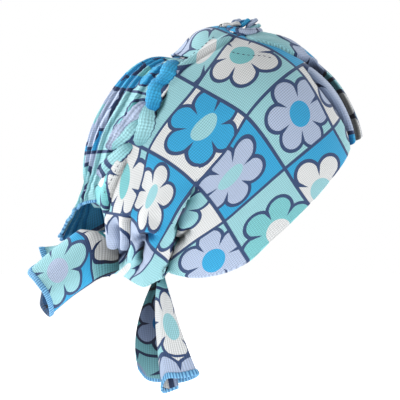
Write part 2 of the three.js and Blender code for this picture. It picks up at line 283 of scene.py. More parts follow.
bpy.ops.mesh.primitive_plane_add(size=FLOOR_SIZE, location=(0, 0, FLOOR_HEIGHT))
floor = bpy.context.object
floor.name = "studio_floor"
paper, tree = new_material("pale_paper", Roughness=0.9, Emission_Strength=FLOOR_GLOW)
grain = add_node(tree, "TexNoise", Scale=3.0)
tone = add_node(tree, "ValToRGB", Fac=grain.outputs["Fac"])
for stop, grey in zip(tone.color_ramp.elements, PAPER_GREYS):
    stop.color = (grey, grey, grey, 1.0)
set_shader(tree, Base_Color=tone.outputs["Color"], Emission_Color=tone.outputs["Color"])
floor.data.materials.append(paper)
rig.stage(floor)
print("lamps:", len(LAMPS))

# %% [markdown]
# ## The print
# The cloth carries a common retro print: a check of tiles, each with one big round-petalled daisy that
# the tile's edge may cut off. A picture file could hold it, but a node group that works it out stays
# sharp at any size and needs no file. It reads a place in tiles, so each piece of cloth only needs a
# map that says where on the print it lies. A short chart gives each tile of the repeat its colours,
# and where its daisy sits, how it is turned and how long its centre is.

# %% Print colours and chart
INKS = {
    "aqua": (0.295, 0.560, 0.608),
    "turquoise": (0.185, 0.500, 0.530),
    "blue": (0.036, 0.335, 0.600),
    "lavender": (0.392, 0.466, 0.620),
    "white": (0.655, 0.668, 0.672),
    "navy": (0.040, 0.070, 0.160),
}
REPEAT_COLUMNS = 6
REPEAT_ROWS = 5
LONG = (0.125, 0.205)
ROUND = (0.175, 0.165)
CHART_HEADS = ("column", "row", "ground", "petal", "centre", "across", "down", "turn", "oval", "size")
CHART = [
    (0, 0, "white", "blue", "aqua", 0.51, 0.385, 52, LONG, 1.0),
    (1, 0, "blue", "lavender", "aqua", 0.41, 0.62, 8, LONG, 1.0),
    (2, 0, "aqua", "turquoise", "white", 0.76, 0.52, 31, ROUND, 1.0),
    (3, 0, "blue", "blue", "aqua", 0.45, 0.48, 20, LONG, 1.0),
    (4, 0, "aqua", "blue", "turquoise", 0.02, 0.60, 33, ROUND, 0.75),
    (5, 0, "aqua", "turquoise", "lavender", 0.20, 0.62, 10, ROUND, 1.0),
    (0, 1, "blue", "white", "aqua", 0.395, 0.525, 31, LONG, 0.91),
    (1, 1, "white", "aqua", "lavender", 0.22, 0.44, 50, ROUND, 1.0),
    (2, 1, "aqua", "lavender", "blue", 0.47, 0.36, 15, ROUND, 1.0),
    (3, 1, "blue", "lavender", "aqua", 0.60, 0.45, 8, LONG, 1.0),
    (4, 1, "aqua", "turquoise", "white", 0.70, 0.52, 44, ROUND, 1.0),
    (5, 1, "aqua", "white", "turquoise", 0.52, 0.50, 40, LONG, 1.2),
    (0, 2, "lavender", "aqua", "white", 0.45, 0.69, 53, ROUND, 1.0),
    (1, 2, "aqua", "lavender", "blue", 0.80, 0.78, 5, ROUND, 0.8),
    (2, 2, "blue", "blue", "turquoise", 0.50, 0.15, 35, LONG, 0.8),
    (3, 2, "lavender", "aqua", "white", 0.49, 0.52, 26, LONG, 1.0),
    (4, 2, "aqua", "lavender", "blue", 0.88, 0.56, 3, ROUND, 0.75),
    (5, 2, "white", "lavender", "lavender", 0.45, 0.62, 30, ROUND, 1.15),
    (0, 3, "blue", "lavender", "white", 0.40, 0.25, 40, ROUND, 1.0),
    (1, 3, "white", "lavender", "blue", 0.57, 0.42, 30, LONG, 1.0),
    (2, 3, "aqua", "white", "turquoise", 0.37, 0.30, 33, ROUND, 1.0),
    (3, 3, "aqua", "lavender", "blue", 0.80, 0.50, 25, ROUND, 0.85),
    (4, 3, "aqua", "white", "aqua", 0.50, 0.52, 30, LONG, 1.0),
    (5, 3, "blue", "blue", "turquoise", 0.20, 0.90, 18, ROUND, 0.6),
    (0, 4, "aqua", "white", "turquoise", 0.33, 0.31, 48, ROUND, 1.0),
    (1, 4, "aqua", "lavender", "blue", 0.52, 0.40, 56, ROUND, 1.0),
    (2, 4, "blue", "white", "aqua", 0.69, 0.72, 54, ROUND, 1.12),
    (3, 4, "blue", "aqua", "lavender", 0.42, 0.42, 2, ROUND, 1.05),
    (4, 4, "white", "lavender", "aqua", 0.50, 0.50, 0, ROUND, 1.0),
    (5, 4, "lavender", "aqua", "white", 0.72, 0.47, 24, LONG, 1.2),
]
TILE = np.array([55.0, 70.0])
print("tiles in the repeat:", len(CHART), "each about", TILE, "mm")

# %% [markdown]
# A node group is a small tool with sockets of its own. The chart goes into it as colour ramps with hard
# stops, one stop for each tile. A ramp's three channels can also hold numbers, such as a daisy's place.

# %% Helpers for node groups
def chart_ramp(tree, stop, colours):
    node = add_node(tree, "ValToRGB", Fac=stop)
    node.color_ramp.interpolation = "CONSTANT"
    elements = node.color_ramp.elements
    for k, colour in enumerate(colours):
        place = k / len(colours)
        element = elements[k] if k < 2 else elements.new(place)
        element.position = place
        element.color = (*colour, 1.0)
    return node.outputs["Color"]


def node_group(name, inputs, outputs):
    tree = bpy.data.node_groups.new(name, "ShaderNodeTree")
    for label, kind in inputs:
        tree.interface.new_socket(label, in_out="INPUT", socket_type=kind)
    for label, kind in outputs:
        tree.interface.new_socket(label, in_out="OUTPUT", socket_type=kind)
    return tree, tree.nodes.new("NodeGroupInput").outputs, tree.nodes.new("NodeGroupOutput").inputs


print("stops in a ramp:", len(CHART))

# %% [markdown]
# The group first finds the tile that a place lies in, and reads that tile's line of the chart: its
# colours, and its daisy's place, turn, centre and size.

# %% Tile of the print
PETALS = 6
SECTOR_DEGREES = 360 / PETALS
LARGEST_DAISY = 2.0

tree, given, result = node_group(
    "daisy_check_print", [("Place", "NodeSocketVector")], [("Color", "NodeSocketColor")],
)


def maths(operation, *values):
    return calculate(tree, operation, *values)


def chart_numbers(numbers):
    return add_node(tree, "SeparateColor", Color=chart_ramp(tree, stop, numbers)).outputs


columns, rows, _ = add_node(tree, "SeparateXYZ", Vector=given["Place"]).outputs
column = maths("FLOORED_MODULO", maths("FLOOR", columns), REPEAT_COLUMNS)
row = maths("FLOORED_MODULO", maths("FLOOR", rows), REPEAT_ROWS)
tile_number = maths("ADD", column, maths("MULTIPLY", row, REPEAT_COLUMNS))
stop = maths("DIVIDE", maths("ADD", tile_number, 0.5), len(CHART))
chart = [dict(zip(CHART_HEADS, line)) for line in CHART]
ground, petal, centre = (
    chart_ramp(tree, stop, [INKS[tile[part]] for tile in chart]) for part in ("ground", "petal", "centre")
)
places = [(tile["across"], tile["down"], tile["turn"] / SECTOR_DEGREES) for tile in chart]
daisy_across, daisy_down, daisy_turn = chart_numbers(places)
forms = [(*tile["oval"], tile["size"] / LARGEST_DAISY) for tile in chart]
oval_width, oval_length, daisy_size = chart_numbers(forms)
print("nodes that read the chart:", len(tree.nodes))

# %% [markdown]
# A daisy is drawn by folding the plane: the angle round the flower is folded into one sixth, so one
# petal is worked out and six appear. The petal is half an ellipse outside and a taper inside, so
# that the six meet round the centre. How far a point is outside tells petal from outline and ground.

# %% Daisy of a tile
PETAL_REACH = 0.33
PETAL_LENGTH = 0.165
PETAL_HALF_WIDTH = 0.156
PETAL_TAPER = 0.34
OUTLINE = 0.05
BORDER = 0.024


def distance(sideways, lengthwise):
    squares = [maths("MULTIPLY", leg, leg) for leg in (sideways, lengthwise)]
    return maths("SQRT", maths("ADD", *squares))


in_tile = [maths("FRACT", at) for at in (columns, rows)]
size = maths("MULTIPLY", daisy_size, LARGEST_DAISY)
across = maths("DIVIDE", maths("SUBTRACT", in_tile[0], daisy_across), size)
down = maths("DIVIDE", maths("SUBTRACT", in_tile[1], daisy_down), size)
reach = distance(across, down)
sector = math.radians(SECTOR_DEGREES)
turned = maths("SUBTRACT", maths("DIVIDE", maths("ARCTAN2", down, across), sector), daisy_turn)
off_axis = maths("MULTIPLY", maths("SUBTRACT", maths("FRACT", maths("ADD", turned, 0.5)), 0.5), sector)
along = maths("SUBTRACT", maths("MULTIPLY", reach, maths("COSINE", off_axis)), PETAL_REACH)
beside = maths("MULTIPLY", reach, maths("SINE", off_axis))
half_width = maths("MULTIPLY_ADD", maths("MINIMUM", along, 0.0), PETAL_TAPER, PETAL_HALF_WIDTH)
outward = maths("DIVIDE", maths("MAXIMUM", along, 0.0), PETAL_LENGTH)
ellipse = distance(outward, maths("DIVIDE", beside, half_width))
outside = maths("MULTIPLY", maths("SUBTRACT", ellipse, 1.0), PETAL_HALF_WIDTH)
from_centre = distance(maths("DIVIDE", across, oval_width), maths("DIVIDE", down, oval_length))
to_edge = maths("MINIMUM", *(maths("MINIMUM", at, maths("SUBTRACT", 1.0, at)) for at in in_tile))

navy = (*INKS["navy"], 1.0)
colour = blend_colour(tree, maths("LESS_THAN", outside, OUTLINE), ground, navy)
colour = blend_colour(tree, maths("LESS_THAN", outside, 0.0), colour, petal)
colour = blend_colour(tree, maths("LESS_THAN", from_centre, 1.0), colour, centre)
colour = blend_colour(tree, maths("LESS_THAN", to_edge, BORDER), colour, navy)
tree.links.new(colour, result["Color"])
daisy_check_print = tree
print("nodes in the print:", len(tree.nodes))

# %% [markdown]
# ## The knit
# The cloth is a fine rib knit, and its ribs run down the print's columns. They are far too fine to
# model, so a second node group gives a shade for the colour and a height for the bump. Noise makes the
# ribs come and go, as they do where the cloth is stretched.

# %% Node group of the knit
RIB_PITCH = 1.6
COURSE_PITCH = 2.2
COURSE_SHARE = 0.45
KNIT_CONTRAST = 0.25
KNIT_TONE = 0.96
LEAST_RIBS, MORE_RIBS = 0.3, 0.9

tree, given, result = node_group(
    "rib_knit", [("Place", "NodeSocketVector")],
    [("Shade", "NodeSocketFloat"), ("Height", "NodeSocketFloat")],
)
columns, rows, _ = add_node(tree, "SeparateXYZ", Vector=given["Place"]).outputs
rib = maths("SINE", maths("MULTIPLY", columns, 2 * math.pi * TILE[0] / RIB_PITCH))
course = maths("SINE", maths("MULTIPLY", rows, 2 * math.pi * TILE[1] / COURSE_PITCH))
patches = add_node(tree, "TexNoise", Vector=given["Place"], Scale=2.2, Detail=3.0)
strength = maths("MULTIPLY_ADD", patches.outputs["Fac"], MORE_RIBS, LEAST_RIBS)
ribs = maths("MULTIPLY", maths("MULTIPLY_ADD", course, COURSE_SHARE, rib), strength)
tree.links.new(maths("MULTIPLY_ADD", ribs, KNIT_CONTRAST, KNIT_TONE), result["Shade"])
tree.links.new(maths("MULTIPLY_ADD", ribs, 0.5, 0.5), result["Height"])
rib_knit = tree
print("ribs in a tile:", round(TILE[0] / RIB_PITCH))

# %% [markdown]
# Every piece of cloth uses the same two materials, the printed face and its paler reverse. Both read
# the piece's own map, named cloth_print, which holds the place on the print in tiles. They also read the
# piece's own attribute crease_shade, which marks the bottom of tight folds. The light in a fold meets the
# cloth more than once and takes on its colour each time, so the colour there gets deeper as well as darker.

# %% Cloth materials
CREASE_DARKNESS = 0.84
CREASE_DEPTH = 1.3
REVERSE_TINT = (0.72, 0.76, 0.8, 1.0)
REVERSE_PALENESS = 0.06


def own_map(tree, name):
    node = add_node(tree, "UVMap")
    node.uv_map = name
    return node.outputs["UV"]


def add_group(tree, group, place):
    node = add_node(tree, "Group")
    node.node_tree = group
    wire(tree, place, node.inputs["Place"])
    return node.outputs


def add_bump(tree, height, strength, depth):
    bump = add_node(tree, "Bump", Height=height, Strength=strength, Distance=depth)
    set_shader(tree, Normal=bump.outputs["Normal"])


def darkened(tree, colour, knit_shade=1.0):
    attribute = add_node(tree, "Attribute")
    attribute.attribute_name = "crease_shade"
    crease = attribute.outputs["Fac"]
    depth = calculate(tree, "MULTIPLY_ADD", crease, CREASE_DEPTH, 1.0)
    deep = add_node(tree, "Gamma", Color=colour, Gamma=depth)
    lit = calculate(tree, "MULTIPLY_ADD", crease, -CREASE_DARKNESS, 1.0)
    shaded = add_node(tree, "VectorMath")
    shaded.operation = "SCALE"
    wire(tree, deep.outputs["Color"], shaded.inputs[0])
    wire(tree, calculate(tree, "MULTIPLY", lit, knit_shade), shaded.inputs["Scale"])
    return shaded.outputs[0]


def printed_cloth(name, paleness):
    material, tree = new_material(
        name, Roughness=0.86, Specular_IOR_Level=0.25, Sheen_Weight=0.12, Sheen_Roughness=0.5,
    )
    place = own_map(tree, "cloth_print")
    knit = add_group(tree, rib_knit, place)
    colour = add_group(tree, daisy_check_print, place)["Color"]
    if paleness:
        colour = blend_colour(tree, paleness, colour, REVERSE_TINT)
    set_shader(tree, Base_Color=darkened(tree, colour, knit["Shade"]))
    add_bump(tree, knit["Height"], strength=0.22, depth=0.0004)
    return material


CLOTH_FACE = printed_cloth("printed_knit_face", 0)
CLOTH_REVERSE = printed_cloth("printed_knit_reverse", REVERSE_PALENESS)
print("cloth materials:", CLOTH_FACE.name, "and", CLOTH_REVERSE.name)

# %% [markdown]
# The hems are covered with overlock thread, and a few stitches are of dark sewing thread. Both are fine
# fibres, so noise on the Object coordinates gives the tone and the bump. On a hem the thread lies in bars,
# and the hem's own map, named thread_run, counts them.

# %% Thread materials
BAR_SHARPNESS = 1.5
BAR_GLEAM = 0.45


def thread(name, light, dark, barred):
    material, tree = new_material(name, Roughness=0.7)
    place = add_node(tree, "TexCoord").outputs["Object"]
    fibres = add_node(tree, "TexNoise", Vector=place, Scale=700.0, Detail=2.0).outputs["Fac"]
    lit = calculate(tree, "MULTIPLY_ADD", fibres, 0.6, 0.2)
    if barred:
        bars, _, _ = add_node(tree, "SeparateXYZ", Vector=own_map(tree, "thread_run")).outputs
        wave = calculate(tree, "SINE", calculate(tree, "MULTIPLY", bars, math.pi))
        bar = calculate(tree, "POWER", calculate(tree, "ABSOLUTE", wave), BAR_SHARPNESS)
        lit = calculate(tree, "MULTIPLY", calculate(tree, "ADD", lit, BAR_GLEAM), bar)
    tone = blend_colour(tree, lit, (*dark, 1.0), (*light, 1.0))
    set_shader(tree, Base_Color=darkened(tree, tone))
    add_bump(tree, fibres, strength=0.4, depth=0.0003)
    return material


HEM_THREAD = thread("overlock_thread", (0.21, 0.51, 0.77), (0.02, 0.12, 0.30), True)
STITCH_THREAD = thread("dark_sewing_thread", (0.06, 0.07, 0.12), (0.015, 0.02, 0.05), False)
print("thread materials:", HEM_THREAD.name, "and", STITCH_THREAD.name)

# %% [markdown]
# ## The worn form
# All the cloth follows one rounded form, that of the wrap when it is worn. It is a table of distances from
# a point in its middle, by the angle down from the top, for the front, the sides and the back. A place on
# it is given by its turn, which is 0 at the front and 180 at the back, and its angle down. The same sizes
# shape the solids, so the cloth made here lies where they are. All sizes from here on are millimetres.

# %% Worn form, rim and fold lines
CENTRE_Z = -98.0
FORM_MIDDLE = np.array([0, 0, CENTRE_Z])
WORN_FORM = {
    "down": [0, 12, 25, 40, 55, 70, 85, 100, 115, 130, 145, 160],
    "front": [100.2, 96.5, 92.4, 89, 90.5, 92, 95, 97, 99, 103, 109, 115],
    "side": [100.2, 97.8, 95.3, 91, 86, 81.3, 78.2, 79, 84, 95.5, 116, 141],
    "back": [100.2, 106.3, 108.5, 103.5, 118.5, 127.5, 137, 145, 148, 147, 154, 164],
}
RIM = {
    "turn": [0, 15, 30, 45, 60, 75, 90, 105, 120, 135, 150, 165, 180],
    "down": [85.5, 90.5, 105, 120.8, 132.5, 140.3, 147, 149.8, 150.2, 148.5, 144, 141, 133],
}
PLEAT_EDGE = {
    "share": [0, 0.13, 0.18, 0.22, 0.26, 0.31, 0.40, 0.48, 0.60, 0.71, 0.77, 0.87, 1],
    "turn": [106, 100, 79, 62, 54, 45, 36, 33.8, 28.8, 23.4, 21.4, 17.8, 14.5],
}
MIDDLE_EDGE = {
    "share": [0, 0.13, 0.18, 0.22, 0.26, 0.30, 0.36, 0.43, 0.57, 0.71, 0.80, 1],
    "turn": [100, 94, 72, 55, 46, 38, 28, 21.5, 15, 11.5, 10.3, 9],
}
SEAM = {
    "down": [38, 55, 70, 83, 93, 100, 104, 108, 118],
    "turn": [141, 145, 148, 152.5, 156, 160, 166, 168.5, 170],
}


def curve(table, along, column, at):
    x = np.asarray(table[along], float)
    y = np.asarray(table[column], float)
    slope = np.gradient(y, x)
    slope[1:-1] = (y[2:] - y[:-2]) / (x[2:] - x[:-2])
    at = np.clip(at, x[0], x[-1])
    i = np.clip(np.searchsorted(x, at, side="right") - 1, 0, len(x) - 2)
    width = x[i + 1] - x[i]
    t = (at - x[i]) / width
    h = 1 - t
    start = y[i] * h * h * (1 + 2 * t) + slope[i] * width * t * h * h
    return start + y[i + 1] * t * t * (3 - 2 * t) - slope[i + 1] * width * t * t * h


def rise(start, end, x):
    t = np.clip((x - start) / (end - start), 0, 1)
    return t * t * (3 - 2 * t)


def unit(vectors):
    return vectors / np.linalg.norm(vectors, axis=-1, keepdims=True)


def form_radius(turn, down):
    c, s = np.cos(np.radians(turn)), np.sin(np.radians(turn))
    front, side, back = (curve(WORN_FORM, "down", part, down) for part in ("front", "side", "back"))
    return 1 / np.sqrt((c / np.where(c > 0, front, back)) ** 2 + (s / side) ** 2)


def rim_down(turn):
    return curve(RIM, "turn", "down", np.abs(turn))


def seam_turn(down):
    return curve(SEAM, "down", "turn", down)


def place(turn, down, radius):
    flat = radius * np.sin(np.radians(down))
    x, y = flat * np.cos(np.radians(turn)), flat * np.sin(np.radians(turn))
    return np.stack([x, y, CENTRE_Z + radius * np.cos(np.radians(down))], -1)


print("form, front to back:", float(form_radius(0.0, 85.0) + form_radius(180.0, 85.0)))

# %% [markdown]
# ## Making a piece of cloth
# Cloth starts as a flat grid, as it does when it is cut. Its points are then moved to where the cloth
# lies, the print is laid on it, and a Solidify modifier gives it a wall. The grid primitive numbers
# its points across and along, so a formula can place each of them, fold by fold.

# %% Helpers for cloth
def cloth_grid(name, columns, rows):
    bpy.ops.object.select_all(action="DESELECT")
    bpy.ops.mesh.primitive_grid_add(x_subdivisions=columns, y_subdivisions=rows, size=1, calc_uvs=False)
    piece = bpy.context.object
    piece.name = name
    piece.data.name = name
    flat = np.empty(3 * len(piece.data.vertices), np.float32)
    piece.data.vertices.foreach_get("co", flat)
    flat = flat.reshape(-1, 3).astype(float)
    return piece, flat[:, 0] + 0.5, flat[:, 1] + 0.5


def move_points(piece, points):
    piece.data.vertices.foreach_set("co", (points * MM).astype(np.float32).ravel())
    piece.data.update()


def corners(piece):
    found = np.empty(len(piece.data.loops), np.int32)
    piece.data.loops.foreach_get("vertex_index", found)
    return found


print("one mm of cloth in metres:", MM)

# %% [markdown]
# The print and the shade are stored in the mesh. A UV map gives each corner of a face its place on the
# print, and an attribute gives each point its shade.

# %% Helpers for print and shade
def lay_map(piece, name, at_corners):
    layer = piece.data.uv_layers.new(name=name)
    layer.data.foreach_set("uv", at_corners.astype(np.float32).ravel())


def shade_creases(piece, shade):
    layer = piece.data.attributes.new("crease_shade", "FLOAT", "POINT")
    layer.data.foreach_set("value", np.clip(shade, 0, 1).astype(np.float32))


def shade_reverse(piece, shade):
    values = np.empty(len(piece.data.vertices), np.float32)
    layer = piece.data.attributes["crease_shade"]
    layer.data.foreach_get("value", values)
    values[len(values) // 2:] += shade
    layer.data.foreach_set("value", np.clip(values, 0, 1))


print("map of the cloth: cloth_print, shade of its creases: crease_shade")

# %% [markdown]
# Edges that meet are merged, and the faces are turned outwards before Solidify adds the wall, because it
# grows the wall inwards from the face. A finished piece then takes the place of its solid.

# %% Helpers to finish cloth
MERGE_DISTANCE = 1e-6


def close_up(piece, outwards_from=None):
    bpy.ops.object.mode_set(mode="EDIT")
    bpy.ops.mesh.select_all(action="SELECT")
    bpy.ops.mesh.remove_doubles(threshold=MERGE_DISTANCE)
    bpy.ops.object.mode_set(mode="OBJECT")
    if outwards_from is not None:
        normals = np.empty(3 * len(piece.data.polygons), np.float32)
        middles = np.empty_like(normals)
        piece.data.polygons.foreach_get("normal", normals)
        piece.data.polygons.foreach_get("center", middles)
        away = middles.reshape(-1, 3) - np.array(outwards_from) * MM
        if (normals.reshape(-1, 3) * away).sum() < 0:
            piece.data.flip_normals()


def give_wall(piece, thickness):
    piece.data.materials.append(CLOTH_FACE)
    piece.data.materials.append(CLOTH_REVERSE)
    bpy.ops.object.modifier_add(type="SOLIDIFY")
    wall = piece.modifiers[-1]
    wall.thickness = thickness * MM
    wall.offset = -1
    wall.material_offset = 1
    bpy.ops.object.modifier_apply(modifier=wall.name)
    bpy.ops.object.shade_smooth()


def dress(piece, points, tiles, shade, middle, wall=None):
    move_points(piece, points)
    lay_map(piece, "cloth_print", tiles[corners(piece)])
    shade_creases(piece, shade)
    close_up(piece, middle)
    if wall:
        give_wall(piece, wall)
    else:
        piece.data.materials.append(CLOTH_FACE)
        bpy.ops.object.shade_smooth()


def join(pieces, name):
    for piece in pieces:
        piece.select_set(True)
    bpy.context.view_layer.objects.active = pieces[-1]
    bpy.ops.object.join()
    pieces[-1].name = name
    return pieces[-1]


def stand_for(piece, slot, *solids):
    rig.replaces(piece, *solids)
    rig.slot(piece, slot)
    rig.ride(piece, "root")
    print(piece.name, "faces:", len(piece.data.polygons))


print("points nearer than this are merged, in metres:", MERGE_DISTANCE)

# %% [markdown]
# Two formulas come back in many folds. A ripple is a sum of a few random waves, for cloth that is never
# quite even, and a ridge is a row of rolls with sharp valleys between them.

# %% Ripple and ridge
RIPPLE_WAVES = 6


def ripple(x, y, length, seed):
    random = np.random.default_rng(seed)
    total = np.zeros(np.broadcast(x, y).shape)
    for _ in range(RIPPLE_WAVES):
        angle, phase = random.uniform(0, 2 * math.pi, 2)
        wave = length * random.uniform(0.7, 1.5)
        total += np.sin((x * math.cos(angle) + y * math.sin(angle)) * 2 * math.pi / wave + phase)
    return total / 2.5


def ridge(phase, sharpness):
    return np.abs(np.sin(math.pi * phase)) ** sharpness


print("waves in a ripple:", RIPPLE_WAVES)

# %% [markdown]
# ## Crown
# The crown is the stretched cap: smooth at the sides, pleated over the forehead, and drawn together at
# the nape behind an oblique tuck. One grid makes it all. Its columns follow the pleats, the tuck and the
# back seam, so the folds stay crisp with few points. Pleats lean over their creases and the tuck laps over
# the cloth in front of it, which a plain bump could not show.
#
# The loose folds at the nape have no rule, so they are worked like strokes of a sculpting brush: each is a
# short line on the cloth, by turn and angle down, that lifts or sinks the points near it.

# %% Fold strokes
STROKE_HEADS = ("name", "lift", "lap", "width", "shade", "line")
STROKES = [
    ("finger, left roll", 3.0, 0, 4.0, 0, [(165.6, 118.4), (166.6, 122.2), (168.8, 126)]),
    ("finger, valley", -6.5, 0, 3.2, 0.45, [(162.1, 121.5), (163, 126.1), (166.6, 129)]),
    ("finger, right roll", 2.5, 0, 4.0, 0, [(157.8, 121), (158.6, 125.5), (161.5, 128)]),
    ("finger, pocket", -8.0, 0, 2.4, 0.9, [(171.1, 129.4), (168.6, 130.6), (163.5, 130.2)]),
    ("long crease", -4.5, 0, 2.2, 0.3, [(155.4, 119.6), (157.1, 127.8), (162.1, 130.3), (167, 132.5)]),
    ("lip", 6.5, 6.0, 4.2, 0, [(151.1, 123.6), (149, 123.2), (146.2, 123.8), (144.4, 125.6)]),
    ("under the lip", -8.0, 0, 2.6, 0.3, [(151.2, 127.2), (148.9, 128), (146.8, 128.4)]),
    ("lip, underside", 0, 0, 2.4, 0.5, [(151.4, 124.8), (150.1, 126.2), (148.8, 127), (147.1, 127)]),
    ("slot", -7.0, 0, 2.2, 0.6, [(151, 129.8), (153.4, 132.2), (155.8, 134.4)]),
    ("slot, shadow", 0, 0, 2.6, 0.95, [(151.2, 130), (153.4, 132.2), (155.6, 134.2)]),
    ("slot end", -4.0, 0, 2.4, 0.3, [(154.6, 133.8), (159.2, 136.2)]),
    ("beside the slot", 2.5, 0, 4.5, 0, [(147.2, 130.5), (150.8, 134.8)]),
    ("petal fold", 3.0, 0, 4.0, 0, [(153.6, 127.6), (158, 131.9)]),
    ("pouch, back", 11.0, 0, 8.0, 0, [(172, 132.5), (180, 131.5)]),
    ("tuck crease", -8.0, 0, 2.4, 0.9, [(131.6, 132.5), (135.8, 134.8), (139.8, 135.1)]),
    ("tuck roll", 3.5, 2.0, 3.6, 0, [(130.5, 128.5), (134.3, 131), (138, 132)]),
    ("panel crease", -4.4, 0, 2.0, 0.4, [(154, 98), (159.2, 106.2), (162.5, 110.4), (165.4, 114.5)]),
    ("panel roll", 2.6, 0, 5.0, 0, [(157, 98), (162.5, 106.2), (166, 110.4), (168, 114)]),
    ("top seam", -1.9, 0, 2.4, 0.15, [(113, 23.8), (123, 32.2), (132.6, 40.4), (138, 53)]),
    ("top seam roll", 2.2, 0, 3.2, 0, [(118.5, 21.1), (125.5, 29.8), (135.4, 37.5), (140.1, 49.6)]),
    ("knot fold", 2.2, 0, 3.0, 0, [(58.2, 13.2), (32.2, 23.5), (19, 33.1), (14, 40)]),
    ("beside the knot fold", -2.4, 0, 2.2, 0.4, [(48, 12), (25, 22), (12, 31), (7, 38)]),
    ("beside the puffs", -3.0, 0, 2.8, 0.7, [(141.2, 66), (141.1, 71.6), (143, 76.9)]),
    ("side slack", 1.8, 0, 9.0, 0, [(139, 108), (141, 118), (146, 122)]),
    ("side dip", -1.8, 0, 7.0, 0, [(147, 104), (149, 114), (152, 119)]),
]
POUCH_DEPTH = 10.0
POUCH_STARTS = (112, 130)
POUCH_GATHERS = (0, 0.4)
TUCK = {
    "down": [108, 113, 115, 121, 127, 134.6, 139.6, 142.4, 146],
    "turn": [120.5, 123.1, 124.8, 129.9, 136, 140.6, 145.9, 151.5, 156],
}


def tuck_turn(down):
    return curve(TUCK, "down", "turn", down)


def crown_base(side, down):
    gather = (side - tuck_turn(down)) / (180 - tuck_turn(down))
    return form_radius(side, down) + POUCH_DEPTH * rise(*POUCH_STARTS, down) * rise(*POUCH_GATHERS, gather)


def on_crown(turn, down):
    return place(turn, down, crown_base(np.abs(turn), down))


def from_line(points, line):
    nearest = np.full(points.shape[:-1], np.inf)
    for start, end in zip(line[:-1], line[1:]):
        step = end - start
        t = np.clip(((points - start) @ step) / (step @ step), 0, 1)
        nearest = np.minimum(nearest, np.linalg.norm(points - start - t[..., None] * step, axis=-1))
    return nearest


def stroke_folds(side, down):
    points = on_crown(side, down)
    lift, lap, shade = np.zeros((3, *points.shape[:-1]))
    for line in STROKES:
        stroke = dict(zip(STROKE_HEADS, line))
        turns, downs = np.array(stroke["line"], float).T
        away = from_line(points, on_crown(turns, downs))
        touch = np.exp(-((away / stroke["width"]) ** 2))
        lift += stroke["lift"] * touch
        lap += stroke["lap"] * touch
        shade += stroke["shade"] * touch ** 1.5
    return lift, lap, shade


print("strokes:", len(STROKES))

# %% [markdown]
# The pleats and the tuck do have a rule. Two creases run down each side of the forehead. The wide middle
# pleat lies between the inner ones, and a narrow roll between the inner and the outer. A pleat's height
# goes up and down once from crease to crease, and it leans to the side, so that it laps over its crease.
# The rule gives a lift, a lean and a shade, and each fold starts softly, between two shares of the way
# down.

# %% Pleats
MIDDLE_HEIGHT = 5.2
ROLL_HEIGHT = 0.8
MIDDLE_STARTS = (0.05, 0.25)
ROLL_STARTS = (0.33, 0.5)
MIDDLE_FULLNESS = 0.2
ROLL_FULLNESS = 0.6
PLEAT_CREASE = 5.0
PLEAT_LEAN = {"middle": 0.4, "roll": 1.0}
PLEAT_SHADE = {"most": 0.9, "at_top": 0.3, "starts": (0.25, 0.42)}
PAST_EDGE = {"sink": 3.5, "shade": 1.5}
CLEFT = {"depth": 6.0, "width": 2.4, "shade_inside": 4.2, "shade_outside": 1.5}


def pleat_edge(share):
    return curve(PLEAT_EDGE, "share", "turn", share)


def middle_edge(share):
    return curve(MIDDLE_EDGE, "share", "turn", share)


def pleat_phase(side, share):
    inner, outer = middle_edge(share), pleat_edge(share)
    return np.where(side < inner, 0.5 + 0.5 * side / inner, 1 + (side - inner) / (outer - inner))


def pleat_folds(side, share, flat):
    phase = pleat_phase(side, share)
    middle, pleated = phase < 1, phase < 2
    roll = ridge(phase, np.where(middle, MIDDLE_FULLNESS, ROLL_FULLNESS))
    held, roll_held = rise(*MIDDLE_STARTS, share), rise(*ROLL_STARTS, share)
    crease_held = held + (roll_held - held) * np.clip(phase - 1, 0, 1)
    past_edge = np.radians(np.maximum(side - pleat_edge(share), 0)) * flat
    sink = np.where(pleated, (1 - roll) ** 2, np.exp(-past_edge / PAST_EDGE["sink"])) * crease_held
    height = np.where(middle, MIDDLE_HEIGHT * held, ROLL_HEIGHT * roll_held)
    lift = np.where(pleated, height * roll, 0) - PLEAT_CREASE * sink
    middle_lean = 4 * np.clip(2 * phase - 1, 0, 1) ** 2 * np.clip(2 - 2 * phase, 0, 1)
    roll_lean = np.where(pleated & ~middle, np.sin(math.pi * phase) ** 2, 0)
    lean = PLEAT_LEAN["middle"] * held * middle_lean + PLEAT_LEAN["roll"] * roll_held * roll_lean
    shade = np.where(pleated, (1 - roll) ** 1.5, np.exp(-past_edge / PAST_EDGE["shade"])) * crease_held
    at_top = PLEAT_SHADE["at_top"]
    shade *= PLEAT_SHADE["most"] * (at_top + (1 - at_top) * rise(*PLEAT_SHADE["starts"], share))
    to_cleft = np.radians(np.abs(side - middle_edge(share))) * flat
    lift -= CLEFT["depth"] * np.exp(-((to_cleft / CLEFT["width"]) ** 2)) * roll_held
    shade_width = np.where(middle, CLEFT["shade_inside"], CLEFT["shade_outside"])
    shade += np.exp(-((to_cleft / shade_width) ** 6)) * roll_held
    return lift, lean, shade


rim_creases = [round(float(edge(1.0)), 1) for edge in (middle_edge, pleat_edge)]
print("creases at the rim, in degrees from the front:", rim_creases)

# %% [markdown]
# At the tuck the cloth behind steps up and laps forward, and the cloth in front dips. Under the flap the
# cloth falls back into a hollow. Both start and end softly, between two angles down.

